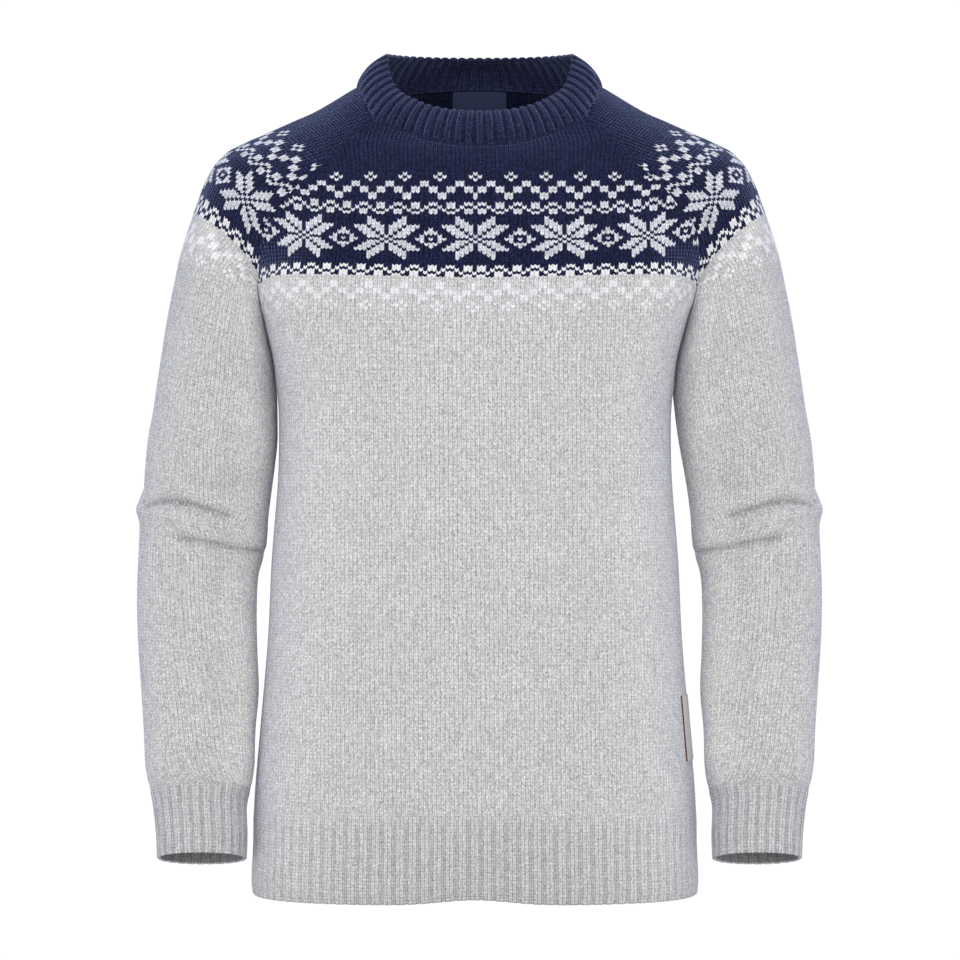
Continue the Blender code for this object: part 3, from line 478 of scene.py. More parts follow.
@dataclass
class Weave:
    """A grid of points with its map in stitches and, for each of its faces, a yarn."""

    points: Array
    stitches: Array
    yarn: Array
    flip: bool = False
    fields: dict[str, Array] = field(default_factory=dict)

    FINENESS = 1e4          # points closer than a millimetre divided by this become one

    def closed_section(self, ring: bool) -> "Weave":
        """Close a skin whose rows run down a wall's face and up its back.

        Args:
            ring: Whether its first and last columns are the same line.

        Returns:
            The closed skin.
        """
        def caps(values: Array, bare: bool) -> Array:
            """Columns that fall on the wall's middle, at both ends."""
            middle = 0 * values if bare else (values + values[::-1]) / 2
            return np.concatenate((middle[:, :1], values, middle[:, -1:]), axis=1)

        def ends(values: Array) -> Array:
            """The last row taken back to the first."""
            return np.concatenate((values, values[:1]))

        points, stitches, fields = self.points, self.stitches, dict(self.fields)
        yarn = self.yarn
        if not ring:
            points = caps(points, bare=False)
            stitches = np.concatenate((stitches[:, :1], stitches, stitches[:, -1:]), axis=1)
            yarn = np.concatenate((yarn[:, :1], yarn, yarn[:, -1:]), axis=1)
            fields = {name: caps(values, bare=name != "phase")
                      for name, values in fields.items()}
        fields = {name: ends(values) for name, values in fields.items()}
        return Weave(ends(points), ends(stitches), np.concatenate((yarn, yarn[-1:])),
                     self.flip, fields)

    def to_object(self, name: str) -> Thing:
        """Make the mesh of the grid; points that fall together become one.

        Args:
            name: The name of the piece.

        Returns:
            The new object, linked to the scene.
        """
        rows, columns = self.points.shape[:2]
        flat = self.points.reshape(-1, 3)
        keys = np.round(flat * self.FINENESS).astype(np.int64)
        _, first, where = np.unique(keys, axis=0, return_index=True, return_inverse=True)
        where = where.reshape(-1)
        grid = np.arange(rows * columns).reshape(rows, columns)
        quads = np.stack((grid[:-1, :-1], grid[:-1, 1:], grid[1:, 1:], grid[1:, :-1]), axis=-1)
        quads = quads.reshape(-1, 4)
        if self.flip:
            quads = quads[:, ::-1]
        verts = where[quads]
        keep = verts != np.roll(verts, 1, axis=1)
        crossed = (verts[:, 0] == verts[:, 2]) | (verts[:, 1] == verts[:, 3])
        valid = (keep.sum(axis=1) >= 3) & ~crossed
        keep = keep & valid[:, None]
        sizes = keep.sum(axis=1)[valid]
        corners = quads[keep]
        mesh = bpy.data.meshes.new(name)
        mesh.vertices.add(len(first))
        mesh.vertices.foreach_set("co", (flat[first] * MM).ravel())
        mesh.loops.add(len(corners))
        mesh.loops.foreach_set("vertex_index", where[corners])
        mesh.polygons.add(len(sizes))
        mesh.polygons.foreach_set("loop_start", np.concatenate(([0], np.cumsum(sizes)[:-1])))
        mesh.polygons.foreach_set("use_smooth", np.ones(len(sizes), bool))
        mesh.update(calc_edges=True)
        layer = mesh.uv_layers.new(name="stitches")
        layer.data.foreach_set("uv", self.stitches.reshape(-1, 2)[corners].ravel())
        yarn = mesh.attributes.new("yarn", "FLOAT", "FACE")
        yarn.data.foreach_set("value", self.yarn.reshape(-1)[valid].astype(np.float32))
        for label, values in self.fields.items():
            kind = "FLOAT_VECTOR" if values.ndim == 3 else "FLOAT"
            own = mesh.attributes.new(label, kind, "POINT")
            values = values.reshape(len(flat), -1)[first].astype(np.float32)
            own.data.foreach_set("vector" if kind == "FLOAT_VECTOR" else "value", values.ravel())
        mesh.validate(clean_customdata=False)
        sharpen(mesh)
        thing = bpy.data.objects.new(name, mesh)
        bpy.context.scene.collection.objects.link(thing)
        return thing


@dataclass(frozen=True)
class RowPlan:
    """Where numbered rows lie, how they bend towards the seams, and how the wales drift.

    Knots give the station of a row at the middle. Each shift has a row, its size in stations and
    the power of the share that it grows with, and corner has a row and how far its ends turn down
    close to the seams. Between the two stations in fine, lines of the mesh lie half a row apart.
    Wale_shift moves the middle wale by station, in millimetres. The last field is painted light:
    how much lighter the yarn is coloured where the piece faces the wearer's left and right.
    """

    knots: tuple[tuple[float, float], ...]
    shifts: tuple[tuple[float, float, float], ...]
    end: float
    counted_at: float = 0.0
    fine: tuple[float, float] = (0.0, 0.0)
    wale_shift: tuple[tuple[float, float], ...] = ((0.0, 0.0), (1.0, 0.0))
    corner: tuple[tuple[float, float], ...] = ((0.0, 0.0), (1.0, 0.0))
    # painted light on the sides that face left and right
    painted_side_light: tuple[float, float] = (0.0, 0.0)


@dataclass(frozen=True)
class Crossings:
    """Where wales cross courses, as grids with one line for each row of the mesh.

    Wales are counted in halves from the middle. Along is the way from the middle wale, and edge
    the way to the nearer side, both in millimetres along the course.
    """

    rows: Array
    wales: Array
    share: Array
    station: Array
    along: Array
    edge: Array


class Fabric:
    """Knitting laid over a surface: wales at equal distances from its middle line."""

    SHARES = np.linspace(-1.0, 1.0, 97)
    STATIONS = 420
    SEAM_DIP = 0.35         # how deep the knitting is drawn in at a seam
    SEAM_WIDTH = 1.6
    WALE_DIP = 0.35         # how deep the line between two wales lies
    EASE = 16.0             # rows below the chart over which its shift fades
    PULL = 0.03             # the last wales before a side are wider by six times this share
    PULL_POWER = 5.0
    CORNER_POWER = 12.0     # power of the share with which the corners turn down
    SIDE_LIGHT_FROM = 0.2         # sideways part of a normal from which painted light makes the yarn lighter

    def __init__(self, surface: Surface, sign: float, plan: RowPlan, gauge: Gauge) -> None:
        """Measure the surface.

        Args:
            surface: The function of share and station.
            sign: The sign that turns its normals outwards.
            plan: Where its rows lie.
            gauge: The size of a stitch.
        """
        self.surface, self.sign, self.plan, self.gauge = surface, sign, plan, gauge
        self.t = np.linspace(0.0, plan.end, self.STATIONS)
        shares, stations = np.meshgrid(self.SHARES, self.t)
        points = surface(shares.ravel(), stations.ravel()).reshape(*shares.shape, 3)
        self.down = lengths(points)
        self.column = self.down[:, int(np.argmin(np.abs(self.SHARES - plan.counted_at)))]
        self.chart_end, self.chart_station = plan.knots[-1]
        self.chart_length = np.interp(self.chart_station, self.t, self.column)
        self.first = self.patterned(np.zeros(1))[0]
        self.above = np.array([np.interp(t, self.t, self.down[:, i])
                               for i, t in enumerate(self.first)])

    def patterned(self, rows: Array) -> Array:
        """Stations of the chart's rows at each share."""
        knots, shifts = np.array(self.plan.knots), np.array(self.plan.shifts)
        middle = np.interp(rows, knots[:, 0], knots[:, 1])
        shift = np.interp(rows, shifts[:, 0], shifts[:, 1])
        power = np.interp(rows, shifts[:, 0], shifts[:, 2])
        corner = np.array(self.plan.corner)
        sag = np.interp(rows, corner[:, 0], corner[:, 1])
        shares = np.abs(self.SHARES)
        return (middle[:, None] + shift[:, None] * shares**power[:, None]
                + sag[:, None] * shares**self.CORNER_POWER)

    def last_row(self) -> float:
        """The number of the row at which the surface ends."""
        return self.chart_end + (self.column[-1] - self.chart_length) / self.gauge.course

    def rows(self, step: int) -> Array:
        """All rows of the yoke, and below it every few rows, down to the last station."""
        top = -math.ceil(self.above.max() / self.gauge.yoke_course)
        first, last = self.chart_end + (np.interp(self.plan.fine, self.t, self.column)
                                        - self.chart_length) / self.gauge.course
        below, row = [], float(self.chart_end)
        while row + step < self.last_row() - 1.0:
            row += 0.5 if first < row < last else step
            below.append(row)
        return np.concatenate((np.arange(top, self.chart_end + 1), below, [self.last_row()]))

    def stations(self, rows: Array) -> Array:
        """The station of each row at each share."""
        result = self.patterned(np.clip(rows, 0.0, None))
        for r in np.flatnonzero(rows < 0):
            length = self.above + rows[r] * self.gauge.yoke_course
            result[r] = [np.interp(max(s, 0.0), self.down[:, i], self.t)
                         for i, s in enumerate(length)]
        shifted = self.patterned(np.array([self.chart_end]))[0] - self.chart_station
        for r in np.flatnonzero(rows > self.chart_end):
            past = rows[r] - self.chart_end
            length = self.chart_length + past * self.gauge.course
            result[r] = np.interp(length, self.column, self.t)
            result[r] += shifted * math.exp(-past / self.EASE)
        return np.minimum(result, self.plan.end)

    def arcs(self, stations: Array) -> Array:
        """Lengths along courses, from the middle to each share.

        Args:
            stations: The station of each course at each share.

        Returns:
            A length for each share of each course.
        """
        grid = np.broadcast_to(self.SHARES, stations.shape)
        lines = self.surface(grid.ravel(), stations.ravel()).reshape(*grid.shape, 3)
        arc = lengths(lines, axis=1)
        arc -= arc[:, [len(self.SHARES) // 2]]
        return arc * (1 - self.PULL * np.abs(self.SHARES)**self.PULL_POWER)

    def sunk(self, distance: Array) -> Array:
        """How deep the knitting lies at a distance from a seam."""
        return self.SEAM_DIP * np.exp(-(distance / self.SEAM_WIDTH)**2)

    def painted_side_lightness(self, out: Array) -> Array:
        """Painted light: how much lighter the yarn is coloured on the sides, by the surface's
        normals.
        """
        sides = (smooth((sign * out[:, 0] - self.SIDE_LIGHT_FROM) / (1 - self.SIDE_LIGHT_FROM))
                 for sign in (1, -1))
        return sum(painted_side_light * side for painted_side_light, side in zip(self.plan.painted_side_light, sides))

    def crossings(self, step: int) -> Crossings:
        """Work out where wales cross courses; the middle of each V hangs down by the drop.

        Args:
            step: Rows between two lines of the mesh below the chart.

        Returns:
            The crossings.
        """
        rows, across, middle = self.rows(step), self.SHARES, len(self.SHARES) // 2
        lows = np.minimum(rows + self.gauge.drop, rows[-1])
        lows[0] = rows[0]
        stations, dropped = self.stations(rows), self.stations(lows)
        arc, low_arc = self.arcs(stations), self.arcs(dropped)
        knots = np.array(self.plan.wale_shift)
        origin, low_origin = (np.interp(lines[:, middle], knots[:, 0], knots[:, 1])
                              for lines in (stations, dropped))
        half = self.gauge.wale / 2
        wales = np.arange(math.floor((arc[:, 0] - origin).min() / half),
                          math.ceil((arc[:, -1] - origin).max() / half) + 1)
        share = np.zeros((len(rows), len(wales)))
        station, length = np.zeros_like(share), np.zeros_like(share)
        for r in range(len(rows)):
            wanted, lower = origin[r] + wales * half, low_origin[r] + wales * half
            length[r] = np.clip(wanted, arc[r, 0], arc[r, -1])
            free = (wanted > arc[r, 0]) & (wanted < arc[r, -1]) & (wales % 2 == 0)
            free &= (lower > low_arc[r, 0]) & (lower < low_arc[r, -1])
            level = np.interp(length[r], arc[r], across)
            low = np.interp(lower, low_arc[r], across)
            share[r] = np.where(free, low, level)
            station[r] = np.where(free, np.interp(low, across, dropped[r]),
                                  np.interp(level, across, stations[r]))
        edge = np.minimum(length - arc[:, [0]], arc[:, [-1]] - length)
        return Crossings(rows, wales, share, station, length - origin[:, None], edge)

    def lay(self, step: int, chart: Callable[[int, int], Yarn], seam_end: float,
            press: Callable[[Array, Array, Array], tuple[Array, Array]] | None = None,
            closed_from: float | None = None) -> Weave:
        """Lay wales and courses over the surface.

        Args:
            step: Rows between two lines of the mesh below the chart.
            chart: The yarn of a stitch by wale and course.
            seam_end: The station where the sunk seam at both sides ends.
            press: How far soft folds press the surface in, and how dark the painted shade along
                them is.
            closed_from: The station from which both sides meet in a tube.

        Returns:
            The grid.
        """
        grid = self.crossings(step)
        rows, wales, shape = grid.rows, grid.wales, grid.share.shape
        c, t, edge = grid.share.ravel(), grid.station.ravel(), grid.edge.ravel()
        points = self.surface(c, t)
        out = normals(self.surface, c, t, self.plan.end, self.sign)
        # painted light: where the piece faces left and right the yarn is coloured lighter
        fields = {"painted_side_light": self.painted_side_lightness(out)}
        dip = self.sunk(edge) * (1 - smooth(t - seam_end))
        if press is not None:
            # painted shade along the folds, kept in the groove attribute for the finish
            pressed, fields["groove"] = press(points, c, t)
            dip = dip + pressed
        above = np.interp(c, self.SHARES, self.above)
        shown = np.maximum(np.repeat(rows, len(wales)), -above / self.gauge.yoke_course)
        head = shown * self.gauge.yoke_course + above
        between = np.tile(wales % 2 == 1, len(rows))
        dip = dip + self.sunk(head) + self.WALE_DIP * between * (edge > self.gauge.wale / 2)
        points = (points - dip[:, None] * out).reshape(*shape, 3)
        if closed_from is not None:
            for line, sides, top in zip(points, np.abs(grid.share) == 1.0, grid.station[:, 0]):
                if top >= closed_from and sides[0] and sides[-1]:
                    line[sides] = (line[0] + line[-1]) / 2
        stitches = np.stack((grid.along / self.gauge.wale, shown.reshape(shape)), axis=-1)
        columns = np.floor((wales[:-1] + 0.5) / 2 + 0.5).astype(int)
        yarn = np.array([[chart(int(k), math.floor(row)).value for k in columns]
                         for row in rows[:-1]])
        return Weave(points, stitches, yarn, self.sign < 0,
                     {name: values.reshape(shape) for name, values in fields.items()})


# ------------------------------------------------------------------ node trees
class Hand:
    """A hand for building a node tree: it adds nodes and joins them."""

    def __init__(self, tree: bpy.types.NodeTree) -> None:
        """Take a tree and empty it."""
        self.tree = tree
        tree.nodes.clear()

    def add(self, kind: str, inputs: dict | None = None, **settings: object) -> bpy.types.Node:
        """Add a node.

        Args:
            kind: The node's type.
            inputs: Values or sockets for its inputs, by name or index.
            **settings: Its other settings.

        Returns:
            The node.
        """
        node = self.tree.nodes.new(kind)
        for name, value in settings.items():
            setattr(node, name, value)
        for key, value in (inputs or {}).items():
            if isinstance(value, Socket):
                self.tree.links.new(value, node.inputs[key])
            else:
                node.inputs[key].default_value = value
        return node

    def math(self, operation: str, *values: object) -> Socket:
        """The result of a Math node."""
        return self.add("ShaderNodeMath", dict(enumerate(values)), operation=operation).outputs[0]

    def times(self, first: object, *values: object) -> Socket:
        """The product of several values."""
        for value in values:
            first = self.math("MULTIPLY", first, value)
        return first

    def plus(self, first: object, *values: object) -> Socket:
        """The sum of several values."""
        for value in values:
            first = self.math("ADD", first, value)
        return first

    def vector(self, operation: str, a: object, b: object = None, scale: object = None) -> Socket:
        """The vector that a Vector Math node gives."""
        inputs = {0: a}
        if b is not None:
            inputs[1] = b
        if scale is not None:
            inputs["Scale"] = scale
        return self.add("ShaderNodeVectorMath", inputs, operation=operation).outputs[0]

    def mix(self, factor: object, a: object, b: object) -> Socket:
        """A mix of two colours."""
        return self.add("ShaderNodeMix", {0: factor, 6: a, 7: b}, data_type="RGBA").outputs[2]

    def fit(self, value: object, low: float, high: float, to_low: float, to_high: float) -> Socket:
        """A value brought from one range into another, and held there."""
        node = self.add("ShaderNodeMapRange", {0: value, 1: low, 2: high, 3: to_low, 4: to_high})
        return node.outputs[0]

    def noise(self, place: object, scale: float, detail: float, roughness: float = 0.5) -> Socket:
        """The value of a Noise Texture node."""
        return self.add("ShaderNodeTexNoise", {
            "Vector": place, "Scale": scale, "Detail": detail, "Roughness": roughness}
        ).outputs["Fac"]

    def stored(self, name: str) -> Socket:
        """A named attribute inside a finish."""
        return self.add("ShaderNodeAttribute", attribute_name=name).outputs["Fac"]

    def stitches(self) -> tuple[Socket, ...]:
        """The map in stitches, its wale and its course."""
        place = self.add("ShaderNodeUVMap", uv_map="stitches").outputs[0]
        split = self.add("ShaderNodeSeparateXYZ", {0: place})
        return place, split.outputs[0], split.outputs[1]

    def finish(self, height: Socket, strength: float, deep: float,
               inputs: dict[str, object]) -> None:
        """End a finish with its bump and a Principled shader.

        Args:
            height: What the bump is read from.
            strength: The bump's strength.
            deep: The bump's depth in millimetres.
            inputs: The shader's other inputs by name.
        """
        bump = self.add("ShaderNodeBump", {"Strength": strength, "Distance": deep * MM,
                                           "Height": height}).outputs[0]
        shader = self.add("ShaderNodeBsdfPrincipled", {**inputs, "Normal": bump})
        self.add("ShaderNodeOutputMaterial", {0: shader.outputs[0]})


def attribute(hand: Hand, name: str, kind: str) -> Socket:
    """A named attribute inside a geometry tree."""
    node = hand.add("GeometryNodeInputNamedAttribute", {0: name}, data_type=kind)
    return node.outputs["Attribute"]


def geometry_tree(name: str, sizes: dict[str, float]
                  ) -> tuple[Hand, bpy.types.Node, dict[str, str]]:
    """Start a geometry tree with named inputs.

    Args:
        name: The tree's name.
        sizes: Its inputs with their values.

    Returns:
        The hand that builds it, its input node and each input's identifier.
    """
    tree = bpy.data.node_groups.new(name, "GeometryNodeTree")
    face = tree.interface
    face.new_socket("Geometry", in_out="INPUT", socket_type="NodeSocketGeometry")
    names = {}
    for label, value in sizes.items():
        socket = face.new_socket(label, in_out="INPUT", socket_type="NodeSocketFloat")
        socket.default_value = value
        names[label] = socket.identifier
    face.new_socket("Geometry", in_out="OUTPUT", socket_type="NodeSocketGeometry")
    hand = Hand(tree)
    return hand, hand.add("NodeGroupInput"), names


def close_tree(hand: Hand, geometry: Socket, material: Material) -> None:
    """End a geometry tree: its instances become real and take their finish."""
    real = hand.add("GeometryNodeRealizeInstances", {0: geometry}).outputs[0]
    dressed = hand.add("GeometryNodeSetMaterial", {0: real, "Material": material}).outputs[0]
    hand.add("NodeGroupOutput", {0: dressed})


def run_tree(thing: Thing, hand: Hand, names: dict[str, str],
             sizes: dict[str, float]) -> None:
    """Run a geometry tree on a piece and keep its result as the piece's plain mesh.

    Args:
        thing: The piece.
        hand: The hand that built the tree.
        names: The identifiers of the tree's inputs.
        sizes: The values for them.
    """
    modifier = thing.modifiers.new(hand.tree.name, "NODES")
    modifier.node_group = hand.tree
    for label, value in sizes.items():
        modifier[names[label]] = value
    graph = bpy.context.evaluated_depsgraph_get()
    mesh = bpy.data.meshes.new_from_object(thing.evaluated_get(graph), depsgraph=graph,
                                           preserve_all_data_layers=True)
    thing.modifiers.remove(modifier)
    old = thing.data
    thing.data = mesh
    bpy.data.meshes.remove(old)


@dataclass(frozen=True)
class RibRelief:
    """Ridges and grooves of ribbing, raised along the directions that a band carries."""

    crest: float = 0.8
    groove: float = 0.7
    narrow: float = 3.0
    # how strongly painted shade darkens the grooves
    shade: float = 1.0

    def grooves(self, hand: Hand, phase: Socket, narrow: Socket) -> Socket:
        """How deep in a groove a phase lies, from 0 to 1."""
        wave = hand.math("COSINE", hand.times(phase, math.tau))
        return hand.math("POWER", hand.fit(wave, -1.0, 1.0, 1.0, 0.0), narrow)

    def raise_on(self, thing: Thing, material: Material) -> None:
        """Raise the ribs on a band."""
        sizes = {"Crest": self.crest * MM, "Groove": self.groove * MM, "Narrow": self.narrow,
                 "Shade": self.shade}
        hand, source, names = geometry_tree("ribs", sizes)
        crest, groove, narrow, shadow = (source.outputs[label] for label in sizes)
        phase = attribute(hand, "phase", "FLOAT")
        face = attribute(hand, "face_push", "FLOAT_VECTOR")
        back = attribute(hand, "back_push", "FLOAT_VECTOR")
        depth = hand.plus(crest, groove)
        offset, dark = None, attribute(hand, "inside", "FLOAT")
        for push, turn in ((face, 0.0), (back, 0.5)):
            dip = self.grooves(hand, hand.plus(phase, turn), narrow)
            height = hand.math("SUBTRACT", crest, hand.times(dip, depth))
            moves = hand.vector("SCALE", push, scale=height)
            length = hand.add("ShaderNodeVectorMath", {0: push}, operation="LENGTH")
            offset = moves if offset is None else hand.vector("ADD", offset, moves)
            dark = hand.plus(dark, hand.times(dip, length.outputs["Value"], shadow))
        # painted shade: the grooves and the band's inside are stored darker for the finish
        shaded = hand.add("GeometryNodeStoreNamedAttribute",
                          {"Geometry": source.outputs[0], "Name": "groove", "Value": dark},
                          data_type="FLOAT", domain="POINT").outputs[0]
        moved = hand.add("GeometryNodeSetPosition",
                         {"Geometry": shaded, "Offset": offset}).outputs[0]
        close_tree(hand, moved, material)
        run_tree(thing, hand, names, sizes)


# ------------------------------------------------------------------ finishes
WHITE = (1.0, 1.0, 1.0, 1.0)


def material_with(name: str) -> tuple[Material, Hand]:
    """A new material and the hand that builds its nodes."""
    material = bpy.data.materials.new(name)
    material.use_nodes = True
    return material, Hand(material.node_tree)


def ramp(hand: Hand, factor: object, stops: list[tuple[float, tuple[float, ...]]]) -> Socket:
    """The colour that a ramp gives, which changes in steps.

    Args:
        hand: The hand that builds the tree.
        factor: What the ramp is read with.
        stops: Places and colours.

    Returns:
        The colour's socket.
    """
    node = hand.add("ShaderNodeValToRGB", {0: factor})
    band = node.color_ramp
    band.interpolation = "CONSTANT"
    for end in (0, -1):
        band.elements[end].position, band.elements[end].color = stops[end][0], (*stops[end][1], 1)
    for place, colour in stops[1:-1]:
        band.elements.new(place).color = (*colour, 1.0)
    return node.outputs[0]


@dataclass(frozen=True)
class Specks:
    """Noise on the map in stitches: its stretch, its detail, its roughness and its weight."""

    stretch: tuple[float, float, float]
    detail: float
    roughness: float
    weight: float = 1.0

    def value(self, hand: Hand, place: Socket) -> Socket:
        """The noise's value at a place of the map."""
        return hand.noise(hand.vector("MULTIPLY", place, self.stretch), 1.0, self.detail,
                          self.roughness)


@dataclass(frozen=True)
class Wool:
    """Woollen yarn, knitted: its colours by yarn, its heather, its stitches and its fuzz.

    The powers navy_depth and white_depth make the heather and the painted shade stronger in the
    navy yarn and weaker in the white one. Ditch and groove are painted shade between wales, in
    folds, in rib grooves and inside the bands, and the side tint is the colour of the painted
    light on the sides that face the wearer's left and right.
    """

    name: str
    drop: float = 0.0
    navy: tuple[float, float, float] = (0.0140, 0.0177, 0.0545)
    heather: tuple[float, float, float] = (0.65, 0.645, 0.662)
    light: tuple[float, float, float] = (0.62, 0.63, 0.70)
    white: tuple[float, float, float] = (0.80, 0.80, 0.835)
    # painted shade in the ditch between two wales
    ditch: float = 0.64
    navy_depth: float = 2.2
    white_depth: float = 0.45
    # tint of the painted light on the sides that face the wearer's left and right
    painted_side_light: tuple[float, float, float] = (2.0, 1.96, 1.82)
    # painted shade in folds, rib grooves and inside the bands
    groove: float = 0.30
    relief: float = 0.8
    melange: float = 0.74

    TUFT = Specks((0.42, 0.9, 1.0), 4.0, 0.75, 0.7)
    FIBRE = Specks((2.7, 1.4, 1.0), 2.0, 0.6, 2.5)
    RUN = Specks((2.1, 0.16, 1.0), 1.0, 0.5, 0.55)
    HAIR = Specks((1.3, 0.9, 1.0), 3.0, 0.8)
    LEG_WEIGHT = 0.35
    CLOUD_SCALE, CLOUD_DETAIL, CLOUD_WEIGHT = 24.0, 3.0, 0.15
    DITCH_WIDTH, ROUNDING = 0.17, 0.3       # of a wale; how softly a leg rises from the ditch
    CREASE_FROM, CREASE = 0.36, 0.62        # where a V's two legs meet, and how high they are
    LOOP, LOOP_FOOT = 0.26, 0.42            # of a course; how high the yarn is between two
    HAIR_FROM, HAIR_TO, HAIR_COVER = 0.68, 0.76, 0.55
    HAIR_TONE = (0.03, 0.03, 0.035, 1.0)
    FUZZ_SCALE, FUZZ = 1800.0, 0.25
    SHEEN_TINT = (0.45, 0.55, 1.0, 1.0)

    def strand(self, hand: Hand, wale: Socket, line: Socket) -> Socket:
        """How high the yarn stands: the legs of each V, with a ditch between two wales."""
        place = hand.math("FRACT", hand.plus(wale, 0.5))
        inward = hand.math("PINGPONG", place, 0.5)
        edge = hand.math("SMOOTH_MIN", hand.fit(inward, 0.0, self.DITCH_WIDTH, 0.0, 1.0), 1.0,
                         self.ROUNDING)
        crease = hand.fit(inward, self.CREASE_FROM, 0.5, 1.0, self.CREASE)
        turn = hand.math("PINGPONG", line, 0.5)
        loop = hand.fit(turn, 0.0, self.LOOP, self.LOOP_FOOT, 1.0)
        return hand.times(edge, crease, loop)

    def tone(self, hand: Hand, place: Socket, body: Socket,
             leg: Socket) -> Socket:
        """The heather of the yarn, about 1: tufts along the courses, legs and fibres."""
        chance = hand.add("ShaderNodeTexWhiteNoise", {"Vector": leg},
                          noise_dimensions="3D").outputs["Value"]
        tuft, fibre, run = ((specks.value(hand, place), specks.weight)
                            for specks in (self.TUFT, self.FIBRE, self.RUN))
        cloud = hand.noise(body, self.CLOUD_SCALE, self.CLOUD_DETAIL)
        parts = (tuft, (chance, self.LEG_WEIGHT), fibre, run, (cloud, self.CLOUD_WEIGHT))
        total = hand.plus(*(hand.times(hand.math("SUBTRACT", value, 0.5), weight)
                            for value, weight in parts))
        return hand.plus(1.0, hand.times(total, self.melange))

    def colour(self, hand: Hand, yarn: Socket) -> Socket:
        """The yarn's colour, with painted light on the sides that the piece marks."""
        quarter = hand.times(hand.plus(yarn, 0.5), 0.25)
        plain = ramp(hand, quarter, [(0.0, self.navy), (0.25, self.heather), (0.5, self.light),
                                     (0.75, self.white)])
        # painted light: the sides that face left and right are coloured lighter and warmer
        side_lit = hand.mix(hand.stored("painted_side_light"), WHITE, (*self.painted_side_light, 1.0))
        return hand.vector("MULTIPLY", plain, side_lit)

    def make(self) -> Material:
        """Build the material."""
        material, hand = material_with(self.name)
        place, wale, course = hand.stitches()
        body = hand.add("ShaderNodeTexCoord").outputs["Object"]
        inward = hand.math("PINGPONG", hand.plus(wale, 0.5), 0.5)
        line = hand.math("SUBTRACT", course, hand.times(inward, 2 * self.drop))
        strand = self.strand(hand, wale, line)
        leg = hand.add("ShaderNodeCombineXYZ", {
            0: hand.math("FLOOR", hand.times(wale, 2.0)),
            1: hand.math("FLOOR", line)}).outputs[0]

        yarn = hand.stored("yarn")
        depth = hand.times(hand.fit(yarn, 0.0, 1.0, self.navy_depth, 1.0),
                           hand.fit(yarn, 2.0, 3.0, 1.0, self.white_depth))
        # painted shade: darker in folds, in rib grooves and inside the bands
        shadow = hand.math("SUBTRACT", 1.0, hand.times(hand.stored("groove"), self.groove))
        # painted shade in the ditches between wales, times the painted shade of grooves and folds
        cavity_shade = hand.times(hand.fit(strand, 0.0, 1.0, self.ditch, 1.0), shadow)
        gain = hand.times(self.tone(hand, place, body, leg), cavity_shade)
        toned = hand.vector("SCALE", self.colour(hand, yarn),
                            scale=hand.math("POWER", gain, depth))
        hair = hand.fit(self.HAIR.value(hand, place), self.HAIR_FROM, self.HAIR_TO, 0.0,
                        self.HAIR_COVER)
        fleck = hand.times(hair, hand.fit(yarn, 2.0, 3.0, 1.0, 0.0))

        fuzz = hand.times(hand.noise(body, self.FUZZ_SCALE, 1.0), self.FUZZ)
        hand.finish(hand.plus(strand, fuzz), self.relief, 1.0, {
            "Base Color": hand.mix(fleck, toned, self.HAIR_TONE), "Roughness": 0.95,
            "Specular IOR Level": 0.08, "Sheen Weight": 0.55, "Sheen Roughness": 0.18,
            "Sheen Tint": self.SHEEN_TINT})
        return material


@dataclass(frozen=True)
class Weft:
    """The neck label's smooth woven cloth."""

    name: str = "label_satin"
    colour: tuple[float, float, float] = (0.048, 0.060, 0.140)
    thread: float = 0.32

    WARP_SHARE = 0.6        # how much of the relief is the warp's
    SLUB_SCALE, SLUB = 2.5, 2.0
    DARKEST, BRIGHTEST = 0.85, 1.18

    def make(self) -> Material:
        """Build the material."""
        material, hand = material_with(self.name)
        place, across, down = hand.stitches()
        rows, warps = (hand.math("SINE", hand.times(way, math.tau / self.thread))
                       for way in (down, across))
        weave = hand.plus(rows, hand.times(warps, self.WARP_SHARE))
        slub = hand.times(hand.noise(place, self.SLUB_SCALE, 2.0), self.SLUB)
        gain = hand.fit(hand.plus(weave, slub), -1.0, 3.0, self.DARKEST, self.BRIGHTEST)
        hand.finish(weave, 0.3, 0.1, {
            "Base Color": hand.vector("SCALE", self.colour, scale=gain), "Roughness": 0.55,
            "Specular IOR Level": 0.35, "Sheen Weight": 0.1})
        return material


@dataclass(frozen=True)
class Hide:
    """Vegetable-tanned leather: a dusty tan face and a dark edge, burnished and with painted
    shadow along it.
    """

    name: str = "tan_leather"
    face: tuple[float, float, float] = (0.66, 0.63, 0.635)
    edge: tuple[float, float, float] = (0.12, 0.040, 0.026)

    PORE_SCALE = 1500.0
    CLOUD_SCALE, CLOUD_DETAIL = 120.0, 4.0
    WORN, WORN_COVER = 0.8, 0.4             # the tone of worn leather, and the most it covers

    def make(self) -> Material:
        """Build the material."""
        material, hand = material_with(self.name)
        place = hand.add("ShaderNodeTexCoord").outputs["Object"]
        pores = hand.add("ShaderNodeTexVoronoi", {"Vector": place, "Scale": self.PORE_SCALE})
        cloud = hand.noise(place, self.CLOUD_SCALE, self.CLOUD_DETAIL)
        worn = hand.mix(hand.fit(cloud, 0.35, 0.7, 0.0, self.WORN_COVER), (*self.face, 1.0),
                        (*(self.WORN * c for c in self.face), 1.0))
        hand.finish(pores.outputs[0], 0.35, 0.15, {
            # the rim is darker: the burnished edge, with the shadow along it painted in
            "Base Color": hand.mix(hand.stored("rim"), worn, (*self.edge, 1.0)),
            "Roughness": 0.55, "Specular IOR Level": 0.4})
        return material


# ------------------------------------------------------------------ the pieces
WALL = 2.4
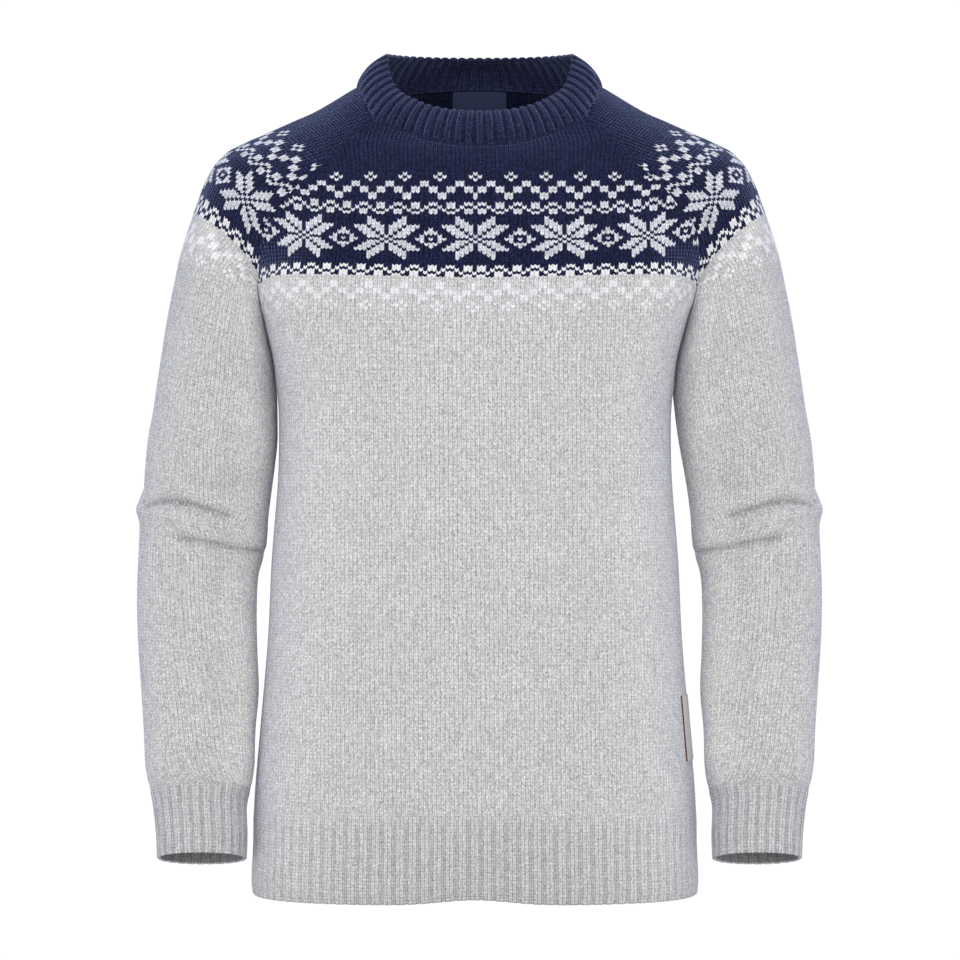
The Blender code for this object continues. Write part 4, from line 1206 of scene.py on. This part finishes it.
# The courses of the yoke lie by these plans, so that its bands meet across the raglan seams.
PANEL_PLAN = RowPlan(
    knots=((0, 2.76), (3, 3.46), (8, 4.47), (10, 4.87), (13, 5.53), (22, 7.14), (32, 8.34),
           (35, 8.67), (38, 8.95), (40, 9.21), (42, 9.4), (44, 9.6), (47, 9.93)),
    shifts=((0, 0.2, 3.0), (1, 0.2, 3.0), (5, -0.1, 3.0), (11.5, -0.55, 3.0), (22, -0.67, 2.7),
            (33, -0.375, 1.2), (40, -0.37, 1.0), (46, -0.37, 1.0)),
    end=HEM_STATION,
    wale_shift=((0.0, -3.5), (8.0, -3.5), (10.0, -2.6), (HEM_STATION, 0.0)),
    corner=((26, 0.0), (34, 0.45)),
    # painted light on the body's sides
    painted_side_light=(0.22, 0.22),
)
SLEEVE_CORNER = {Side.RIGHT: 0.15, Side.LEFT: 0.4}
# painted light on each sleeve's sides, strongest on the side that faces the body, where the body
# blocks the light
SLEEVE_SIDE_LIGHT = {Side.RIGHT: (0.42, 0.12), Side.LEFT: (0.12, 0.42)}
SLEEVE_PLANS = {side: RowPlan(
    knots=((0, 2.38), (22, 6.0), (35, 8.1), (45, 9.1), (47, 9.3)),
    shifts=((0, 0, 1), (46, 0, 1)),
    end=CUFF_STATION,
    counted_at=-0.5,
    fine=(UNDERARM + 3.0, UNDERARM + 9.2),
    wale_shift=((0.0, 0.0), (2.5, 0.0), (6.0, -3.4), (ARM_STATION, -3.4)),
    corner=((26, 0.0), (34, SLEEVE_CORNER[side])),
    painted_side_light=SLEEVE_SIDE_LIGHT[side],
) for side in Side}


def dress(thing: Thing, material: Material) -> None:
    """Give a piece its finish."""
    thing.data.materials.clear()
    thing.data.materials.append(material)


def thicken(thing: Thing, wall: float) -> None:
    """Give a piece its wall, inwards from the face that shows."""
    solid = thing.modifiers.new("wall", "SOLIDIFY")
    solid.thickness = wall * MM
    solid.offset = -1.0
    solid.use_rim = True


def hand_over(thing: Thing, node: str, slot: str) -> None:
    """Let a piece stand for its solid and ride with the garment."""
    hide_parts(node)
    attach(thing, BODY)
    LOG.info("%s: %d faces", thing.name, len(thing.data.polygons))


@dataclass
class Knitted:
    """A piece in plain knitting with the yoke's pattern: what a panel and a sleeve share."""

    node: str
    flat: tuple[float, float]
    area: float

    STEP = 3                # rows between two lines of the mesh below the pattern

    def knit(self, weave: Weave, slot: str, wool: Material) -> Thing:
        """Make the piece from its grid.

        Args:
            weave: The grid.
            slot: The slot of its finish; not used.
            wool: Its finish.

        Returns:
            The piece, with its wall.
        """
        thing = weave.to_object(f"knit_{self.node}")
        dress(thing, wool)
        thicken(thing, WALL)
        hand_over(thing, self.node, slot)
        return thing


@dataclass
class KnitPanel(Knitted):
    """The front or the back of the body, from the neckline to the hem rib."""

    face: Face

    def build(self, wool: Material) -> Thing:
        """Knit the panel in its finish."""
        fabric = Fabric(Panel(self.face).point, float(self.face.value), PANEL_PLAN, Gauge())
        return self.knit(fabric.lay(self.STEP, Chart().yarn, UNDERARM), "panel_knit", wool)


@dataclass(frozen=True)
class Crease:
    """One soft fold on the wearer's right, a line in X and Z: pressed in, with painted shade and a
    swell above.
    """

    face: Face
    depth: float
    width: float
    swell: float
    line: tuple[tuple[float, float], ...]
    crease_shade: float = 0.0

    ENDS = 9.0              # over this length the fold fades at both ends
    ENDS_LEAST = 0.05
    SWELL_ABOVE = 2.1       # the swell lies this many widths above the fold
    SWELL_WIDTH = 1.5
    CORE_ABOVE = 0.6        # the painted shade of the fold is darkest this far above its middle
    CORE_WIDTH = 1.7

    def press(self, here: Array) -> tuple[Array, Array]:
        """How far the fold presses in at places in X and Z, and how dark its painted shade is
        there.
        """
        knots = np.array(self.line)
        lengths = np.linalg.norm(np.diff(knots, axis=0), axis=1)
        starts = np.concatenate(([0.0], np.cumsum(lengths)))
        nearest, along, above = np.full(len(here), 1e9), np.zeros(len(here)), np.zeros(len(here))
        for a, b, length, start in zip(knots, knots[1:], lengths, starts):
            run = (b - a) / length
            place = np.clip((here - a) @ run, 0.0, length)
            offset = here - (a + place[:, None] * run)
            away = np.linalg.norm(offset, axis=1)
            closer = away < nearest
            nearest = np.where(closer, away, nearest)
            along = np.where(closer, start + place, along)
            above = np.where(closer, np.sign(offset[:, 1]) * away, above)
        fade = smooth(np.minimum(along, starts[-1] - along) / self.ENDS
                      + self.ENDS_LEAST)
        dip = np.exp(-(nearest / self.width)**2)
        rise = np.exp(-((above / self.width - self.SWELL_ABOVE) / self.SWELL_WIDTH)**2)
        crease_shade = self.crease_shade * fade * np.exp(-((above - self.CORE_ABOVE) / self.CORE_WIDTH)**2)
        return self.depth * fade * (dip - self.swell * rise), crease_shade


@dataclass(frozen=True)
class Folds:
    """The soft folds of a sleeve: at the armpit, round the elbow and above the cuff."""

    creases: tuple[Crease, ...] = (
        Crease(Face.FRONT, 2.2, 5.0, 0.2, ((-211, -154), (-202, -166), (-193, -176))),
        Crease(Face.FRONT, 1.8, 5.5, 0.3, ((-234, -349), (-216, -347), (-188, -344))),
        Crease(Face.FRONT, 4.4, 3.1, 0.4, (
            (-300, -365), (-286, -360), (-269, -359), (-256, -361), (-242, -365), (-227, -369),
            (-211, -375)), 0.9),
        Crease(Face.FRONT, 4.2, 3.1, 0.4, (
            (-268, -389), (-258, -393), (-246, -394), (-229, -397), (-214, -401), (-202, -403),
            (-186, -405)), 0.9),
        Crease(Face.FRONT, 1.4, 4.5, 0.3, ((-220, -414), (-208, -418), (-192, -424))),
        Crease(Face.FRONT, 1.8, 9.0, 0.0, ((-222, -536), (-200, -549))),
        Crease(Face.BACK, 2.2, 7.0, 0.2, ((-292, -330), (-264, -336), (-238, -346))),
        Crease(Face.BACK, 3.0, 5.0, 0.3, ((-196, -366), (-222, -369), (-250, -374))),
        Crease(Face.BACK, 2.6, 5.0, 0.3, ((-290, -398), (-262, -400), (-232, -405))),
        Crease(Face.BACK, 2.0, 9.0, 0.0, ((-205, -560), (-250, -572))),
    )
    blend: float = 40.0

    def depth(self, side: Side, middle_y: Array, points: Array) -> tuple[Array, Array]:
        """How far the folds press a sleeve in, and how dark their painted shade is.

        Args:
            side: The sleeve's side.
            middle_y: Y of the outer line at each point's course.
            points: The points.

        Returns:
            A depth and a darkness of painted shade for each point.
        """
        here = np.stack((points[:, 0] * -side.value, points[:, 2]), axis=1)
        behind = np.clip(0.5 + (points[:, 1] - middle_y) / self.blend, 0.0, 1.0)
        share = {Face.FRONT: 1 - behind, Face.BACK: behind}
        pressed = [(crease.press(here), share[crease.face]) for crease in self.creases]
        return tuple(sum(values[k] * part for values, part in pressed) for k in (0, 1))


@dataclass
class RaglanSleeve(Knitted):
    """A sleeve from the neckline to its cuff."""

    side: Side
    folds: Folds = field(default_factory=Folds)

    SEAM_FADE = 0.08        # share of a course over which the folds fade at the raglan seam

    def press(self, points: Array, c: Array, t: Array) -> tuple[Array, Array]:
        """Depth of the folds and darkness of their painted shade, which fade out on the raglan
        seams.

        Args:
            points: Points of the sleeve.
            c: Their shares.
            t: Their stations.

        Returns:
            A depth and a darkness of painted shade for each point.
        """
        fade = np.where(t < UNDERARM, smooth((1 - np.abs(c)) / self.SEAM_FADE), 1.0)
        middle_y = Sleeve(self.side).outer(t)[:, 1]
        depth, dark = self.folds.depth(self.side, middle_y, points)
        return fade * depth, fade * dark

    def build(self, wool: Material) -> Thing:
        """Knit the sleeve in its finish."""
        fabric = Fabric(Sleeve(self.side).point, -float(self.side.value),
                        SLEEVE_PLANS[self.side], Gauge())
        weave = fabric.lay(self.STEP, Chart().yarn, UNDERARM, self.press, UNDERARM)
        return self.knit(weave, "sleeve_knit", wool)


def grid_normals(points: Array) -> Array:
    """Unit products of the column and row directions of a ring's grid."""
    ring = points[:, :-1]
    across = np.roll(ring, -1, axis=1) - np.roll(ring, 1, axis=1)
    across = np.concatenate((across, across[:, :1]), axis=1)
    return unit(np.cross(across, np.gradient(points, axis=0)))


def joins(points: Array) -> bool:
    """Whether the first and the last column of a grid are the same line."""
    return np.allclose(points[:, 0], points[:, -1], atol=1e-3)


@dataclass
class RibbedBand:
    """Ribbing folded over at its free edge, as one skin: face, rounded lip and back.

    The ribs rise over the first few millimetres, and inside they stand a share as high. Shadow is
    painted shade that darkens the inside, and the side light is painted light that lightens the
    sides.
    """

    node: str
    slot: str
    wall: float
    rise: float
    relief: RibRelief
    shadow: float = 0.0
    painted_side_light: float = 0.0

    PITCH = 2.77            # height of a course
    WALES_PER_RIB = 3.0
    LIP_ROWS = 5
    INSIDE = 0.5

    def wrap(self, face: Array, out: Array, phase: Array, yarn: Yarn, flip: bool) -> Weave:
        """Wrap the skin round a band.

        Args:
            face: The band's outer face, from the seam to its free edge.
            out: Outward normals of the face.
            phase: The count of ribs at each column.
            yarn: The band's yarn.
            flip: Whether the grid's own normals point inwards.

        Returns:
            The grid, with the directions in which its ribs stand.
        """
        steps = np.linalg.norm(np.diff(face, axis=0), axis=2).mean(axis=1)
        down = np.concatenate(([0.0], np.cumsum(steps)))
        stand = smooth(down / self.rise)[:, None, None]
        end, edge_out = face[-1], out[-1]
        edge = unit(end - face[-2])
        edge = unit(edge - edge_out * dot(edge, edge_out))
        middle = end - edge_out * self.wall / 2
        angles = np.linspace(0.0, math.pi, self.LIP_ROWS + 2)[1:-1]
        turn = np.array([edge_out * math.cos(a) + edge * math.sin(a) for a in angles])
        lip = middle + turn * self.wall / 2
        back = (face - out * self.wall)[::-1]
        ease = np.linspace(1.0, 0.0, self.LIP_ROWS)[:, None, None]
        points = np.concatenate((face, lip, back))
        face_push = np.concatenate((out * stand, turn * ease, 0 * back))
        back_push = np.concatenate((0 * face, turn * (1 - ease), (-out * stand)[::-1]))
        back_push *= self.INSIDE
        far = (down[-1] + self.wall * math.pi / 2 * (np.arange(self.LIP_ROWS) + 1)
               / (self.LIP_ROWS + 1))
        course = np.concatenate((down, far, far[-1] + down[-1] - down[::-1])) / self.PITCH
        shape = points.shape[:2]
        wale = np.broadcast_to(phase * self.WALES_PER_RIB + 0.5, shape)
        stitches = np.stack((wale, np.broadcast_to(course[:, None], shape)), axis=-1)
        colour = np.full((shape[0] - 1, shape[1] - 1), yarn.value)
        # painted shade inside the band
        dark = np.concatenate((0 * face, 0 * turn, 0 * back + self.shadow))[..., 0]
        # painted light on the sides that face left and right
        side = self.painted_side_light * smooth(np.abs(out[..., 0]))
        side = np.concatenate((side, np.repeat(side[-1:], self.LIP_ROWS, axis=0), side[::-1]))
        fields = {"face_push": face_push, "back_push": back_push, "inside": dark, "painted_side_light": side,
                  "phase": np.broadcast_to(phase, shape).copy()}
        weave = Weave(points, stitches, colour, flip, fields)
        return weave.closed_section(ring=joins(points))

    def knit(self, weave: Weave, wool: Material) -> Thing:
        """Make the band from its grid and raise its ribs."""
        thing = weave.to_object(f"rib_{self.node}")
        self.relief.raise_on(thing, wool)
        hand_over(thing, self.node, self.slot)
        return thing


@dataclass(frozen=True)
class NeckForm:
    """The neck opening: the band's foot on the neckline and its top edge."""

    rim_angles: tuple[float, ...] = (0, 17, 33, 48, 61, 68, 76, 83, 90, 110, 145, 180)
    rim_heights: tuple[float, ...] = (-21.5, -20.0, -15.5, -7.5, -0.5, 7.0, 17.5, 27.0, 33.0,
                                      33.6, 33.5, 33.6)
    half: float = 82.5
    middle: float = -6.0
    front: float = 57.0
    back: float = 55.0
    blur: float = 6.0

    BLUR_SAMPLES = 13
    STEPS = 60              # steps of the foot on half a panel or half a sleeve

    def rim(self, degrees: Array) -> Array:
        """Points of the top edge by angle, from the front to the wearer's left."""
        near = np.linspace(-self.blur, self.blur, self.BLUR_SAMPLES)
        turns = np.abs(degrees[:, None] + near) % 360.0
        turns = np.where(turns > 180.0, 360.0 - turns, turns)
        heights = np.interp(turns, self.rim_angles, self.rim_heights).mean(axis=1)
        a = np.radians(degrees)
        depth = np.where(np.cos(a) > 0, self.front, self.back)
        return np.stack((self.half * np.sin(a), self.middle - depth * np.cos(a), heights), axis=1)

    def foot(self) -> Array:
        """The neckline through the tops of all four pieces, from the middle of the front."""
        front, back = Panel(Face.FRONT).point, Panel(Face.BACK).point
        left, right = Sleeve(Side.LEFT).point, Sleeve(Side.RIGHT).point
        runs = ((front, 0.0, 1.0), (left, -1.0, 1.0), (back, 1.0, -1.0), (right, 1.0, -1.0),
                (front, -1.0, 0.0))
        tops = []
        for surface, start, end in runs:
            steps = round(abs(end - start)) * self.STEPS
            tops.append(surface(np.linspace(start, end, steps + 1), np.zeros(steps + 1))[:-1])
        points = np.concatenate(tops)
        return np.concatenate((points, points[:1]))


def spread(points: Array, counts: tuple[int, ...]) -> Array:
    """Points along a closed line: each quarter of it in equal steps by length."""
    length = lengths(points)
    marks = [i * (len(points) - 1) // 4 for i in range(5)]
    targets = [np.linspace(length[a], length[b], count + 1)[:-1]
               for a, b, count in zip(marks, marks[1:], counts)]
    where = np.concatenate((*targets, [length[-1]]))
    return np.stack([np.interp(where, length, points[:, i]) for i in range(3)], axis=1)


@dataclass
class Neckband:
    """The ribbed band round the neck, which bulges a little and is tucked under the body."""

    wall: float = 3.0
    bulge: float = 4.2
    rise: float = 7.0
    columns: tuple[int, ...] = (34, 28, 28, 34)
    fine: int = 4
    rows: int = 22
    tuck: float = 0.9
    reach: float = 1.8
    form: NeckForm = field(default_factory=NeckForm)
    relief: RibRelief = field(default_factory=RibRelief)

    RIM_STEPS = 720

    def build(self, wool: Material) -> Thing:
        """Knit the band.

        Args:
            wool: Its finish.

        Returns:
            The band.
        """
        counts = tuple(n * self.fine for n in self.columns)
        foot = spread(self.form.foot(), counts)
        rim = spread(self.form.rim(np.linspace(0.0, 360.0, self.RIM_STEPS + 1)), counts)
        v = np.linspace(0.0, 1.0, self.rows + 1)[:, None, None]
        straight = foot * (1 - v) + rim * v
        points = straight + self.bulge * 4 * v * (1 - v) * grid_normals(straight)
        out = grid_normals(points)
        hidden = points[0] + self.reach * unit(points[0] - points[1]) - self.tuck * out[0]
        points = np.concatenate((hidden[None], points))
        out = np.concatenate((out[:1], out))
        phase = np.arange(points.shape[1]) / (2 * self.fine)
        band = RibbedBand("neckband", "neckband_rib", self.wall, self.rise, self.relief)
        thing = band.knit(band.wrap(points, out, phase, Yarn.NAVY, flip=False), wool)
        return thing


def even_shares(surface: Surface, t: float, count: int) -> Array:
    """Shares that cut a course into equal lengths."""
    shares = np.linspace(-1.0, 1.0, 401)
    points = surface(shares, np.full(len(shares), t))
    length = lengths(points)
    return np.interp(np.linspace(0.0, length[-1], count + 1), length, shares)


@dataclass
class EdgeRib:
    """The ribbing of the hem or of a cuff."""

    band: RibbedBand
    surface: Surface
    sign: float
    ribs: int
    first: float
    last: float
    flat: tuple[float, float]
    fine: int = 8
    rows: int = 26

    def build(self, wool: Material) -> Thing:
        """Knit the ribbing.

        Args:
            wool: Its finish.

        Returns:
            The ribbing.
        """
        shares = even_shares(self.surface, self.first + 1, self.ribs * self.fine)
        ends = self.surface(np.zeros(2), np.array((self.last - 1.0, self.last)))
        lip = self.band.wall / 2 / np.linalg.norm(ends[1] - ends[0])
        stations = np.linspace(self.first, self.last - lip, self.rows + 1)
        c, t = (a.ravel() for a in np.meshgrid(shares, stations))
        shape = (len(stations), len(shares), 3)
        points = self.surface(c, t).reshape(shape)
        out = normals(self.surface, c, t, self.last, self.sign).reshape(shape)
        if joins(points):
            points[:, -1] = points[:, 0]
            out[:, 0] = out[:, -1] = unit(out[:, 0] + out[:, -1])
        phase = np.arange(len(shares)) / self.fine + 0.5
        weave = self.band.wrap(points, out, phase, Yarn.HEATHER, flip=self.sign < 0)
        thing = self.band.knit(weave, wool)
        return thing


def station_at(face: Face, c: float, height: float, span: tuple[float, float]) -> float:
    """The station of a span at which a wale of a panel reaches a height."""
    stations = np.linspace(*span, 400)
    line = Panel(face).point(np.full(len(stations), c), stations)[:, 2]
    return float(np.interp(-height, -line, stations))


@dataclass
class Label:
    """A sewn label, laid at a distance over a panel's face or, below zero, behind it."""

    face: Face
    node: str
    slot: str
    thick: float
    away: float

    RIM = 0.9               # width of the dark edge: the burnish and the painted shadow along it

    def lay(self, shares: Callable[[float], Array], stations: Array, sizes: tuple[float, float],
            material: Material) -> Thing:
        """Lay the label.

        Args:
            shares: The shares of its columns at a station.
            stations: The stations of its rows.
            sizes: Its width and height.
            material: Its finish.

        Returns:
            The label, with its wall.
        """
        surface = Panel(self.face).point
        c = np.array([shares(t) for t in stations])
        t = np.broadcast_to(stations[:, None], c.shape)
        out = normals(surface, c.ravel(), t.ravel(), HEM_STATION, float(self.face.value))
        points = surface(c.ravel(), t.ravel()) + self.away * out
        rows, columns = c.shape
        u, v = np.meshgrid(np.linspace(0, sizes[0], columns), np.linspace(0, sizes[1], rows))
        weave = Weave(points.reshape(rows, columns, 3), np.stack((u, v), axis=-1),
                      np.zeros((rows - 1, columns - 1)),
                      flip=(self.face is Face.FRONT) != (self.away < 0),
                      fields={"rim": np.clip(1 - u / self.RIM, 0.0, 1.0)})
        thing = weave.to_object(self.node.replace("label", "sewn_label"))
        dress(thing, material)
        thicken(thing, self.thick)
        hand_over(thing, self.node, self.slot)
        return thing


@dataclass
class NeckLabel:
    """The bare woven label inside the back of the neck."""

    half: float = 24.0
    height: float = 38.0
    top: float = 0.03
    bottom: float = -32.0
    thick: float = 0.9
    gap: float = 0.5
    columns: int = 33
    rows: int = 25

    SPAN = (0.0, 4.0)       # stations between which it ends
    REACH = 0.6             # share of a course that is wider than the label

    def shares(self, t: float) -> Array:
        """Shares of a course at which evenly spaced X lie."""
        c = np.linspace(-self.REACH, self.REACH, 121)
        x = Panel(Face.BACK).point(c, np.full(len(c), t))[:, 0]
        return np.interp(np.linspace(-self.half, self.half, self.columns), x, c)

    def build(self, satin: Material) -> Thing:
        """Lay the label.

        Args:
            satin: Its finish.

        Returns:
            The label.
        """
        last = station_at(Face.BACK, 0.0, self.bottom, self.SPAN)
        label = Label(Face.BACK, "neck_label", "label_weave", self.thick,
                      -(WALL + self.gap + self.thick))
        thing = label.lay(self.shares, np.linspace(self.top, last, self.rows),
                          (2 * self.half, self.height), satin)
        return thing


@dataclass
class SideLabel:
    """The small leather patch on the front, by the left side seam."""

    top: float = -529.0
    height: float = 57.0
    width: float = 24.0
    front: float = 0.797
    back: float = 0.945
    thick: float = 0.8
    gap: float = 0.32
    columns: int = 25
    rows: int = 40

    def build(self, leather: Material) -> Thing:
        """Lay the patch.

        Args:
            leather: Its finish.

        Returns:
            The patch.
        """
        first, last = (station_at(Face.FRONT, self.back, z, (UNDERARM, HEM_STATION))
                       for z in (self.top, self.top - self.height))
        label = Label(Face.FRONT, "side_label", "label_leather", self.thick,
                      self.gap + self.thick)
        return label.lay(lambda t: np.linspace(self.front, self.back, self.columns),
                         np.linspace(first, last, self.rows), (self.width, self.height), leather)


# ------------------------------------------------------------------ the studio
@dataclass(frozen=True)
class Softbox:
    """A square soft light that looks at the garment."""

    name: str
    place: tuple[float, float, float]
    size: float
    watts: float

    def hang(self, aim: Vector) -> None:
        """Hang the light and turn it to its aim."""
        light = bpy.data.lights.new(self.name, "AREA")
        light.shape, light.size, light.energy = "SQUARE", self.size, self.watts
        thing = bpy.data.objects.new(self.name, light)
        thing.location = self.place
        thing.rotation_euler = (aim - thing.location).to_track_quat("-Z", "Y").to_euler()
        bpy.context.scene.collection.objects.link(thing)


@dataclass(frozen=True)
class Studio:
    """A white studio: camera, softboxes, sky and a light grey floor."""

    aim: tuple[float, float, float] = (0.0, 0.0, -0.34)
    eye: tuple[float, float, float] = (0.00044, -4.5, -0.341)
    half_view: float = 0.4224
    floor: float = -0.735
    floor_radius: float = 3.2
    floor_grey: float = 0.8
    sky: float = 0.64
    white_out: float = 1.02
    boxes: tuple[Softbox, ...] = (
        Softbox("top_light", (0.0, -0.4, 2.6), 2.2, 42.0),
        Softbox("front_light", (0.0, -4.2, 1.2), 2.4, 44.0),
        Softbox("left_light", (1.8, -3.6, 0.3), 1.6, 18.0),
        Softbox("right_light", (-1.8, -3.6, 0.3), 1.6, 18.0),
        Softbox("back_light", (0.0, 2.4, 1.4), 1.8, 50.0),
    )

    def build(self) -> None:
        """Set up the camera, the lights and the floor."""
        scene = bpy.context.scene
        data = bpy.data.cameras.new("camera")
        data.angle = 2 * math.atan(self.half_view / -self.eye[1])
        data.clip_end = 50.0
        camera = bpy.data.objects.new("camera", data)
        camera.location = self.eye
        camera.rotation_euler = (math.pi / 2, 0.0, 0.0)
        scene.collection.objects.link(camera)
        scene.camera = camera
        for box in self.boxes:
            box.hang(Vector(self.aim))
        self.hang_sky(scene)
        self.lay_floor(scene)
        scene.view_settings.view_transform = "Standard"

    def hang_sky(self, scene: bpy.types.Scene) -> None:
        """Surround the studio with white that the camera sees brighter than it shines."""
        world = bpy.data.worlds.new("sky")
        scene.world = world
        world.use_nodes = True
        hand = Hand(world.node_tree)
        ray = hand.add("ShaderNodeLightPath").outputs["Is Camera Ray"]
        strength = hand.plus(self.sky, hand.times(ray, self.white_out - self.sky))
        glow = hand.add("ShaderNodeBackground", {0: WHITE, 1: strength})
        hand.add("ShaderNodeOutputWorld", {0: glow.outputs[0]})

    def lay_floor(self, scene: bpy.types.Scene) -> None:
        """Lay a round floor that the camera sees as white as the sky."""
        shape = bmesh.new()
        bmesh.ops.create_circle(shape, cap_ends=True, segments=96, radius=self.floor_radius)
        mesh = bpy.data.meshes.new("studio_floor")
        shape.to_mesh(mesh)
        shape.free()
        mesh.transform(Matrix.Translation((0.0, 0.0, self.floor)))
        material, hand = material_with("floor_white")
        ray = hand.add("ShaderNodeLightPath").outputs["Is Camera Ray"]
        matt = hand.add("ShaderNodeBsdfDiffuse", {0: (*[self.floor_grey] * 3, 1.0)})
        glow = hand.add("ShaderNodeEmission", {0: WHITE, 1: self.white_out})
        seen = hand.add("ShaderNodeMixShader", {0: ray, 1: matt.outputs[0], 2: glow.outputs[0]})
        hand.add("ShaderNodeOutputMaterial", {0: seen.outputs[0]})
        mesh.materials.append(material)
        thing = bpy.data.objects.new("studio_floor", mesh)
        scene.collection.objects.link(thing)


def build_garment() -> None:
    """Build the pieces, each in its finish.

    The drop of a stitch is part of the mesh in the plain knitting, and of the finish in the ribs.
    Shadow is how much painted shade darkens a rib's inside, beyond the painted shade in its
    grooves.
    """
    panel_wool = Wool("panel_wool").make()
    # painted shade: the sleeves' heather is a little darker than the panels', to match how the
    # sleeves are lit
    shaded_sleeve_wool = Wool("shaded_sleeve_wool", heather=(0.63, 0.624, 0.636)).make()
    # painted light: the band's navy is lighter than the panels', for the light that its ribs catch
    lit_neck_wool = Wool("lit_neckband_wool", drop=Gauge.drop, navy=(0.0265, 0.0322, 0.086)).make()
    hem_wool = Wool("hem_wool", drop=Gauge.drop, ditch=0.54, melange=0.62).make()
    cuff_wool = Wool("cuff_wool", drop=Gauge.drop, ditch=0.56, melange=0.62).make()
    KnitPanel("front_panel", (0.545, 0.654), 0.29, Face.FRONT).build(panel_wool)
    KnitPanel("back_panel", (0.512, 0.687), 0.28, Face.BACK).build(panel_wool)
    for side, node in ((Side.RIGHT, "sleeve_right"), (Side.LEFT, "sleeve_left")):
        RaglanSleeve(node, (0.393, 0.707), 0.196, side).build(shaded_sleeve_wool)
    Neckband().build(lit_neck_wool)
    for face, node in ((Face.FRONT, "hem_rib_front"), (Face.BACK, "hem_rib_back")):
        relief = RibRelief(crest=0.5, groove=0.6, narrow=8.0, shade=0.9)
        # painted light on the hem's sides, and painted shade inside
        band = RibbedBand(node, "hem_rib", WALL, rise=12.0, relief=relief, shadow=1.2, painted_side_light=0.27)
        EdgeRib(band, Panel(face).point, float(face.value), ribs=51, first=HEM_STATION,
                last=TRUNK_STATION, flat=(0.55, 0.075)).build(hem_wool)
    for side, node in ((Side.RIGHT, "cuff_right"), (Side.LEFT, "cuff_left")):
        relief = RibRelief(crest=0.6, groove=0.9, narrow=6.0)
        band = RibbedBand(node, "cuff_rib", WALL, rise=5.0, relief=relief, shadow=1.2)
        EdgeRib(band, Sleeve(side).point, -float(side.value), ribs=25, first=CUFF_STATION,
                last=ARM_STATION, flat=(0.25, 0.062)).build(cuff_wool)
    NeckLabel().build(Weft().make())
    SideLabel().build(Hide().make())


def main() -> None:
    """Build the garment and its studio."""
    logging.basicConfig(level=logging.INFO, format="%(name)s %(message)s")
    build_garment()
    Studio().build()


if __name__ == "__main__":
    main()
